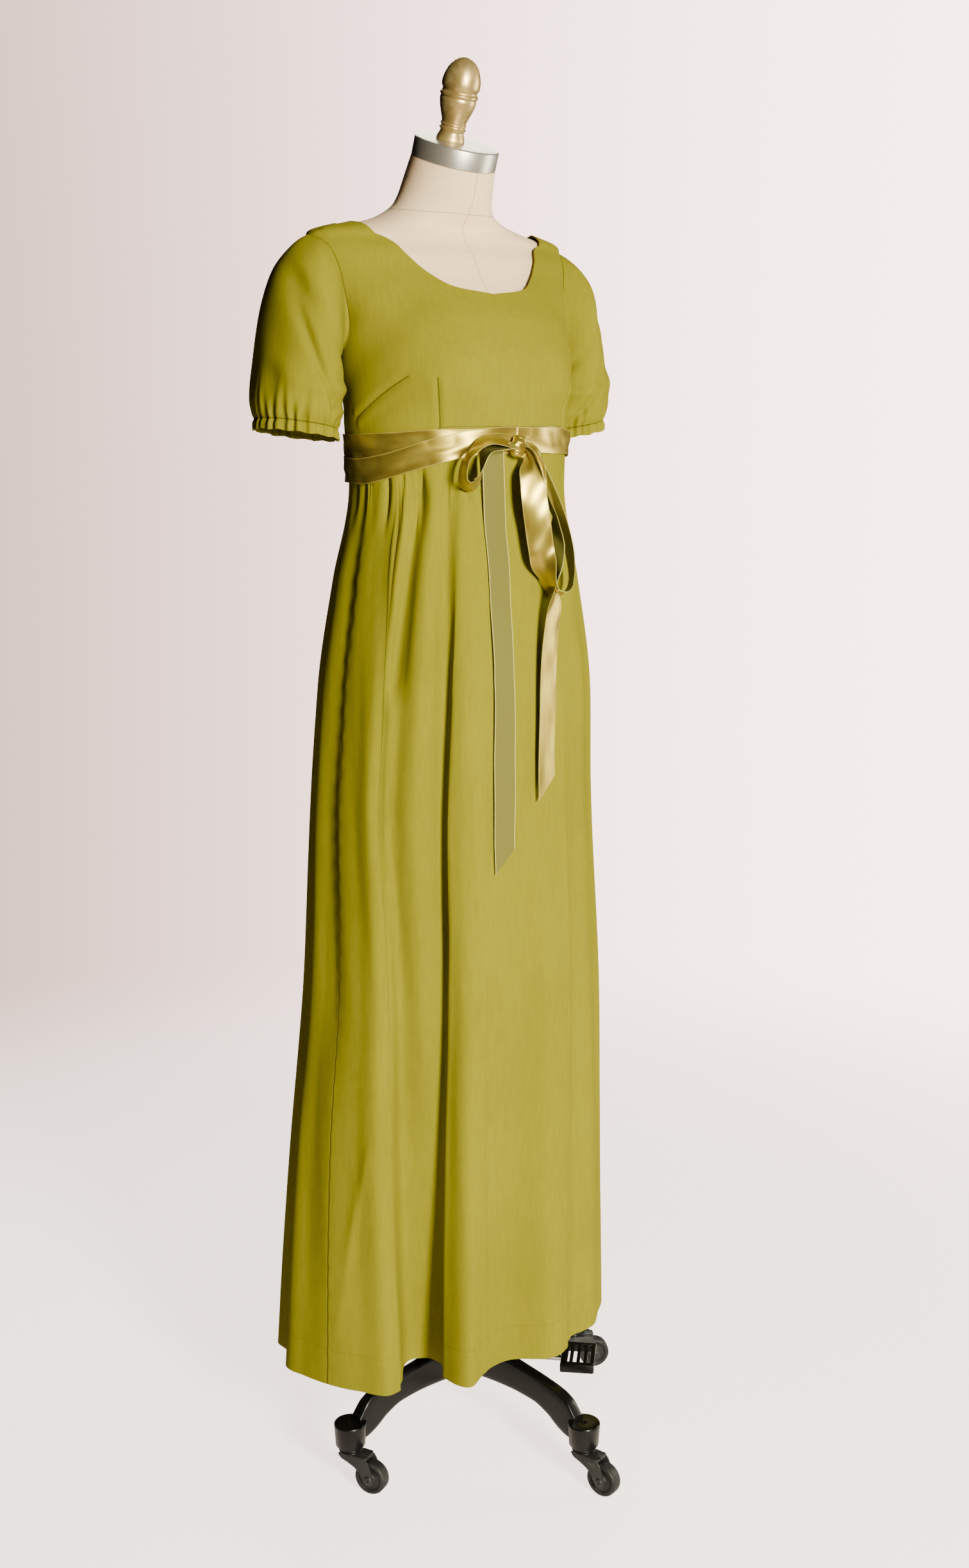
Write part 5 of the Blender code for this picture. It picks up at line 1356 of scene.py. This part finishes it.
def makeLeftTail():
    # the end that hangs flat, over the sash and down the skirt, its matte side out
    heights = np.linspace(leftTail["heights"][-1], leftTail["heights"][0], strip["steps"])
    middle = smoothRead(leftTail["heights"], leftTail["x"], heights)
    across = np.linspace(-1, 1, strip["across"])
    x = middle[:, None] + across[None, :] * leftTail["half"]
    z = np.repeat(heights[:, None], len(across), axis=1)
    z = z + np.linspace(0, 1, len(heights))[:, None] ** 12 * leftTail["slant"] * across[None, :] * 0.5
    halfWidth = smoothRead(dressRings["height"], dressRings["halfWidth"], z)
    off = cloth["sashLift"] + 2 * cloth["ribbonWall"] + 4 * cloth["gap"]
    onSash = dressLine(np.degrees(np.arcsin(x / (halfWidth + off))), z)[..., 1] - off
    onSkirt = skirtFrontY(x, z) - leftTail["offSkirt"]
    y = np.where(z > leftTail["sashFoot"], np.minimum(onSkirt, onSash), onSkirt)
    y = np.minimum.accumulate(y, axis=0)
    for _ in range(4):
        y = np.minimum(y, evened(y))
    along = heights[0] - heights
    ripple = 0.0010 * np.abs(np.sin(along * 34.0 + 0.6)) * ramp(0.05, 0.20, along)
    y = y - leftTail["offSkirt"] - ripple[:, None]
    y = y - 0.0009 * (across[None, :] * np.sin(along * 21.0)[:, None]) * ramp(0.08, 0.3, along)[:, None]
    place, far = np.meshgrid(across, along)
    face = np.broadcast_to(np.array((0.0, -1.0, 0.0)), (*x.shape, 3))
    addRibbon("bowTailLeft", stack(x, y, z), place, far, False, "bow_tail_left", face=face)


def makeKnot():
    # a small lump of folded ribbon, tipped to one side
    sides, rows = knot["grid"]
    angle, up = np.meshgrid(np.arange(sides) * 2 * math.pi / sides, np.linspace(-1, 1, rows))
    low, swell = knot["radius"]
    radius = low + swell * (1 - np.abs(up) ** 3.0) ** 0.5
    fold = 0.0013 * np.cos(up * 5.2 + 1.1 * np.sin(angle)) + 0.0006 * np.cos(up * 11.0 + 2 * angle)
    radius = radius + fold * (1 - up**4)
    outer = stack(radius * np.cos(angle) * 1.05, radius * np.sin(angle) * 0.72, up * knot["half"])
    points, quads = cappedTube(outer)
    turn = Matrix.Translation(knot["at"]) @ Matrix.Rotation(math.radians(knot["tilt"]), 4, "Y")
    weave = np.concatenate([stack(up * 0.8, angle * 0.008, 0.0).reshape(-1, 3), np.zeros((2, 3))])
    piece = addMesh("bowKnot", placed(points, turn), quads, ribbonSatin, "form", 60.0,
                    values={"satin": np.ones(len(points))}, vectors={"weave": weave})
    standsFor(piece, "bow_knot", "ribbon_satin")


makeSash("sashInner", "sash_under", cloth["sashLift"], 0.0, 0.4)
makeSash("sashOuter", "sash_over", cloth["sashLift"] + cloth["ribbonWall"] + 3 * cloth["gap"], 1.0, 1.9)
makeKnot()
makeStrip("bowLoopLeft", "bow_loop_left", leftLoop)
makeStrip("bowLoopRight", "bow_loop_right", rightLoop)
makeLeftTail()
makeStrip("bowTailRight", "bow_tail_right", rightTail, -0.014)
print("ribbon made")


# The stand: a hub with four cast legs, a caster under each, the pole and its tube, and the pedal

# radii, heights and reaches; legCorner is how square the section of a leg is
stand = {"hubRadius": 0.032, "hubFoot": 0.078, "hubTop": 0.135, "tube": 0.0165, "tubeTop": 0.520, "pole": 0.0125,
         "poleFoot": 0.150, "formFoot": 0.800, "bossReach": 0.2035, "bossFoot": 0.056, "bossTop": 0.086,
         "legHalf": 0.009, "legCorner": 5.0}
legColumns = ("reach", "top", "underside")
legRows = columnsOf(legColumns, (
    (0.0323, 0.1280, 0.0800), (0.060, 0.1260, 0.0830), (0.090, 0.1230, 0.0845), (0.122, 0.1200, 0.0830),
    (0.148, 0.1165, 0.0745), (0.165, 0.1130, 0.0645), (0.180, 0.1060, 0.0590), (0.194, 0.0900, 0.0570)))
# each leg's turn round the pole, and the turn that its caster trails towards
legs = (("front", 7.0, 15.0), ("left", 97.0, 60.0), ("back", 187.0, 165.0), ("right", -83.0, 26.0))
# cheek and bridge are outlines of the fork from the side and from above, and the race is turned
caster = {"wheel": 0.0206, "wheelHalf": 0.008, "trail": 0.030, "inside": 0.0092, "outside": 0.0115,
          "cheek": ((-0.0100, 0.0441), (-0.0104, 0.0478), (0.0060, 0.0481), (0.0200, 0.0480), (0.0285, 0.0438),
                    (0.0340, 0.0320), (0.0377, 0.0200), (0.0352, 0.0142), (0.0300, 0.0130), (0.0248, 0.0146),
                    (0.0205, 0.0236), (0.0120, 0.0325), (0.0000, 0.0388), (-0.0066, 0.0412)),
          "bridge": ((-0.0102, -0.0070), (-0.0102, 0.0070), (-0.0060, 0.0113), (0.0060, 0.0113), (0.0200, 0.0113),
                     (0.0262, 0.0104), (0.0272, 0.0000), (0.0262, -0.0104), (0.0200, -0.0113), (0.0060, -0.0113),
                     (-0.0060, -0.0113)), "bridgeHeights": (0.0442, 0.0481),
          "race": ((0.0110, 0.0478), (0.0128, 0.0480), (0.0142, 0.0488), (0.0146, 0.0500), (0.0142, 0.0510),
                   (0.0134, 0.0513), (0.0134, 0.0519), (0.0143, 0.0522), (0.0146, 0.0530), (0.0142, 0.0540),
                   (0.0128, 0.0546), (0.0112, 0.0552), (0.0110, 0.0557))}
# the tread has a lip at each side, and bars across the arm with half widths from the hub's end outwards
pedal = {"turn": 45.0, "height": 0.103, "armEnd": 0.122, "plateEnd": 0.166, "half": 0.030, "low": -0.0070,
         "high": 0.0050, "barHalves": (0.0045, 0.0024, 0.0024, 0.0024, 0.0028), "corner": 0.0019}


def addNode(name, points, quads, finish, body, node, slot, sharp=35.0):
    # a piece that stands for one node of the frame
    standsFor(addMesh(name, points, quads, finish, body, sharp), node, slot)


def joined(*shapes):
    # several closed shapes as one mesh
    points, quads, start = [], [], 0
    for some, faces in shapes:
        if enclosed(some, faces) < 0:
            faces = faces[:, ::-1]
        points.append(some)
        quads.append(faces + start)
        start += len(some)
    return np.concatenate(points), np.concatenate(quads)


def closedCurve(rows, each):
    # a cubic through the rows that comes back to the first
    rows = np.asarray(rows, float)
    place = np.arange(len(rows) * each) / each
    cell = place.astype(int)
    around = (rows[(cell + step) % len(rows)] for step in (-1, 0, 1, 2))
    return cubicBetween(*around, (place - cell)[:, None])


def plate(outline, low, high, edge=0.0006):
    # an outline in x and z given a thickness along y, its edges drawn in a little at both faces
    inward = unit(outline.mean(axis=0) - outline)
    rings = [(edge, low), (0.3 * edge, low + 0.3 * edge), (0.0, low + edge),
             (0.0, high - edge), (0.3 * edge, high - 0.3 * edge), (edge, high)]
    flat = [outline + inward * drawn for drawn, _ in rings]
    return cappedTube(np.stack([stack(f[:, 0], y, f[:, 1]) for f, (_, y) in zip(flat, rings)]))


def roundedBlock(low, high, radius):
    # a unit ball's directions, each pushed out to the corner of the block that it points at
    low, high = np.array(low, float), np.array(high, float)
    upper = np.array((1.0, 22.5, 45.0, 67.5, 89.0))
    around, up = np.meshgrid((np.arange(16) + 0.5) * math.pi / 8, np.radians(np.concatenate([-upper[::-1], upper])))
    ball = stack(np.cos(around) * np.cos(up), np.sin(around) * np.cos(up), np.sin(up))
    return cappedTube((low + high) / 2 + np.sign(ball) * ((high - low) / 2 - radius) + ball * radius)


# the profile of a leg's boss: the radius, and the height above its foot or, where it is below 0, from its head
bossProfile = ((0.0164, 0.0), (0.0176, 0.0004), (0.0183, 0.0015), (0.0198, -0.0040), (0.0201, -0.0026),
               (0.0199, -0.0010), (0.0192, -0.0001), (0.0184, -0.0002), (0.0166, -0.0010), (0.0100, -0.0014),
               (0.0040, -0.0014), (0.0034, -0.0008), (0.0026, -0.0006), (0.0020, -0.0010), (0.0016, -0.0026),
               (0.0004, -0.0030))


def makeLeg(name, turn):
    # a section with rounded corners carried along the leg, and the boss that stands on the caster
    ends = legRows["reach"][0], legRows["reach"][-1]
    angle, reach = np.meshgrid(np.arange(40) * math.pi / 20, np.linspace(*ends, 60))
    top, underside = (smoothRead(legRows["reach"], legRows[key], reach) for key in ("top", "underside"))
    power = 2 / stand["legCorner"]
    side = stand["legHalf"] * (1.0 - 0.12 * ramp(0.05, 0.12, reach) * ramp(0.19, 0.14, reach))
    y = side * np.sign(np.cos(angle)) * np.abs(np.cos(angle)) ** power
    z = (top + underside) / 2 + (top - underside) / 2 * np.sign(np.sin(angle)) * np.abs(np.sin(angle)) ** power
    boss = [(r, h + (stand["bossTop"] if h < 0 else stand["bossFoot"])) for r, h in bossProfile]
    points, quads = turnedPiece(boss, 64)
    points = points + np.array((stand["bossReach"], 0.0, 0.0))
    points, quads = joined(cappedTube(stack(reach, y, z)), (points, quads))
    points = placed(points, Matrix.Rotation(levelTurn(turn), 4, "Z"))
    addNode("castLeg_" + name, points, quads, blackIron, "stand", "leg_" + name, "black_iron")


def makeCaster(name, turn, trail):
    # a fork of two cheeks and a bridge under a ball race, a wheel with a dished face and its rivet
    body, wheelBody = "caster_" + name, "wheel_" + name
    spin = Matrix.Rotation(levelTurn(trail), 4, "Z")
    place = Matrix.Translation(direction(turn) * stand["bossReach"]) @ spin
    inside, outside, radius = caster["inside"], caster["outside"], caster["wheel"]
    cheek = closedCurve(caster["cheek"], 5)
    points, quads = plate(closedCurve(caster["bridge"], 4), *caster["bridgeHeights"])
    bridge = points[:, (0, 2, 1)], quads
    tab = roundedBlock((0.0120, -0.0050, 0.0470), (0.0290, 0.0050, 0.0500), 0.0012)
    points, quads = joined(plate(cheek, inside, outside), plate(cheek, -outside, -inside), bridge, tab)
    points, node = placed(points, place), "caster_yoke_" + name
    addNode("casterFork_" + name, points, quads, casterMetal, body, node, "caster_metal")
    piece = addTurned("casterRace_" + name, caster["race"], 48, blackIron, body, place)
    axle = Matrix.Translation(direction(turn) * stand["bossReach"] + direction(trail) * caster["trail"]
                              + np.array((0, 0, radius))) @ spin @ Matrix.Rotation(math.pi / 2, 4, "X")
    half = caster["wheelHalf"]
    face = [(0.0036, half + 0.0009), (0.0074, half + 0.0009), (0.0079, half + 0.0004), (0.0083, half - 0.0014),
            (0.0100, half - 0.0020), (0.0138, half - 0.0018), (0.0150, half - 0.0006), (0.0158, half - 0.0001),
            (0.0186, half - 0.0001), (radius - 0.0009, half - 0.0008), (radius - 0.0002, half - 0.0022)]
    tread = [(r, -h) for r, h in face] + [(radius, -half / 3), (radius, half / 3)] + face[::-1]
    piece = addTurned("casterWheel_" + name, tread, 72, wheelRubber, wheelBody, axle, ring=True)
    standsFor(piece, "caster_wheel_" + name, "wheel_rubber")
    end = outside + cloth["gap"]
    head = [(0.0008, end + 0.0003), (0.0014, end + 0.0005), (0.0018, end + 0.0015), (0.0028, end + 0.0016),
            (0.0042, end + 0.0012), (0.0052, end + 0.0005), (0.0054, end), (0.0033, end)]
    rivet = [(r, -h) for r, h in head] + head[::-1]
    piece = addTurned("casterRivet_" + name, rivet, 40, casterMetal, body, axle)
    standsFor(piece, "caster_axle_" + name, "caster_metal")


def makePole():
    # the hub, the tube that stands on it with a collar at its head, and the form's pole inside
    radius, foot, top, gap = stand["hubRadius"], stand["hubFoot"], stand["hubTop"], cloth["gap"]
    bore, tube, head = stand["pole"] + gap, stand["tube"], stand["tubeTop"]
    hub = [(radius - 0.005, foot), (radius - 0.0015, foot + 0.001), (radius, foot + 0.004), (radius, top - 0.010),
           (radius - 0.001, top - 0.007), (tube + 0.009, top - 0.001), (tube + 0.006, top)]
    addNode("standHub", *turnedPiece(hub, 64), blackIron, "stand", "hub", "black_iron")
    sleeveTube = [(bore, top + gap), (tube, top + gap), (tube, head - 0.028), (tube + 0.0045, head - 0.0265),
                  (tube + 0.0055, head - 0.0250), (tube + 0.0055, head - 0.0012), (tube + 0.0045, head), (bore, head)]
    addNode("poleSleeve", *turnedPiece(sleeveTube, 48, True), brushedSteel, "stand", "pole_tube", "brushed_steel")
    rod = [(stand["pole"] - 0.001, stand["poleFoot"]), (stand["pole"], stand["poleFoot"] + 0.001),
           (stand["pole"], stand["formFoot"] - gap)]
    addNode("poleRod", *turnedPiece(rod, 48), brushedSteel, "form", "pole", "brushed_steel")


def makePedal():
    # a chromed arm and a black tread with four slots through it
    place = Matrix.Rotation(levelTurn(pedal["turn"]), 4, "Z") @ Matrix.Translation((0.0, 0.0, pedal["height"]))
    end, outer, half = pedal["armEnd"], pedal["plateEnd"], pedal["half"]
    arm = [(0.0062, stand["hubRadius"] + cloth["gap"]), (0.0062, end - 0.030), (0.0060, end - 0.026),
           (0.0061, end - 0.012), (0.0062, end - 0.0006), (0.0054, end)]
    points, quads = turnedPiece(arm, 40)
    addNode("pedalRod", placed(points[:, (2, 1, 0)], place), quads, pedalChrome, "pedal", "pedal_arm", "chrome")
    # a thick lip towards the foot, a thin one behind, and bars between them with slots right through
    start, low, high, bars = end + cloth["gap"], pedal["low"], pedal["high"], pedal["barHalves"]
    blocks = [((start, -half, low), (outer, 0.0095 - half, high)), ((start, half - 0.0055, low), (outer, half, high))]
    for middle, wide in zip(np.linspace(start + bars[0], outer - bars[-1], len(bars)), bars):
        blocks.append(((middle - wide, 0.004 - half, -0.0010), (middle + wide, half - 0.003, high - 0.0006)))
    points, quads = joined(*(roundedBlock(a, b, pedal["corner"]) for a, b in blocks))
    addNode("pedalTread", placed(points, place), quads, blackIron, "pedal", "pedal_plate", "black_iron")


for name, turn, trail in legs:
    makeLeg(name, turn)
    makeCaster(name, turn, trail)
makePole()
makePedal()
print("stand made")
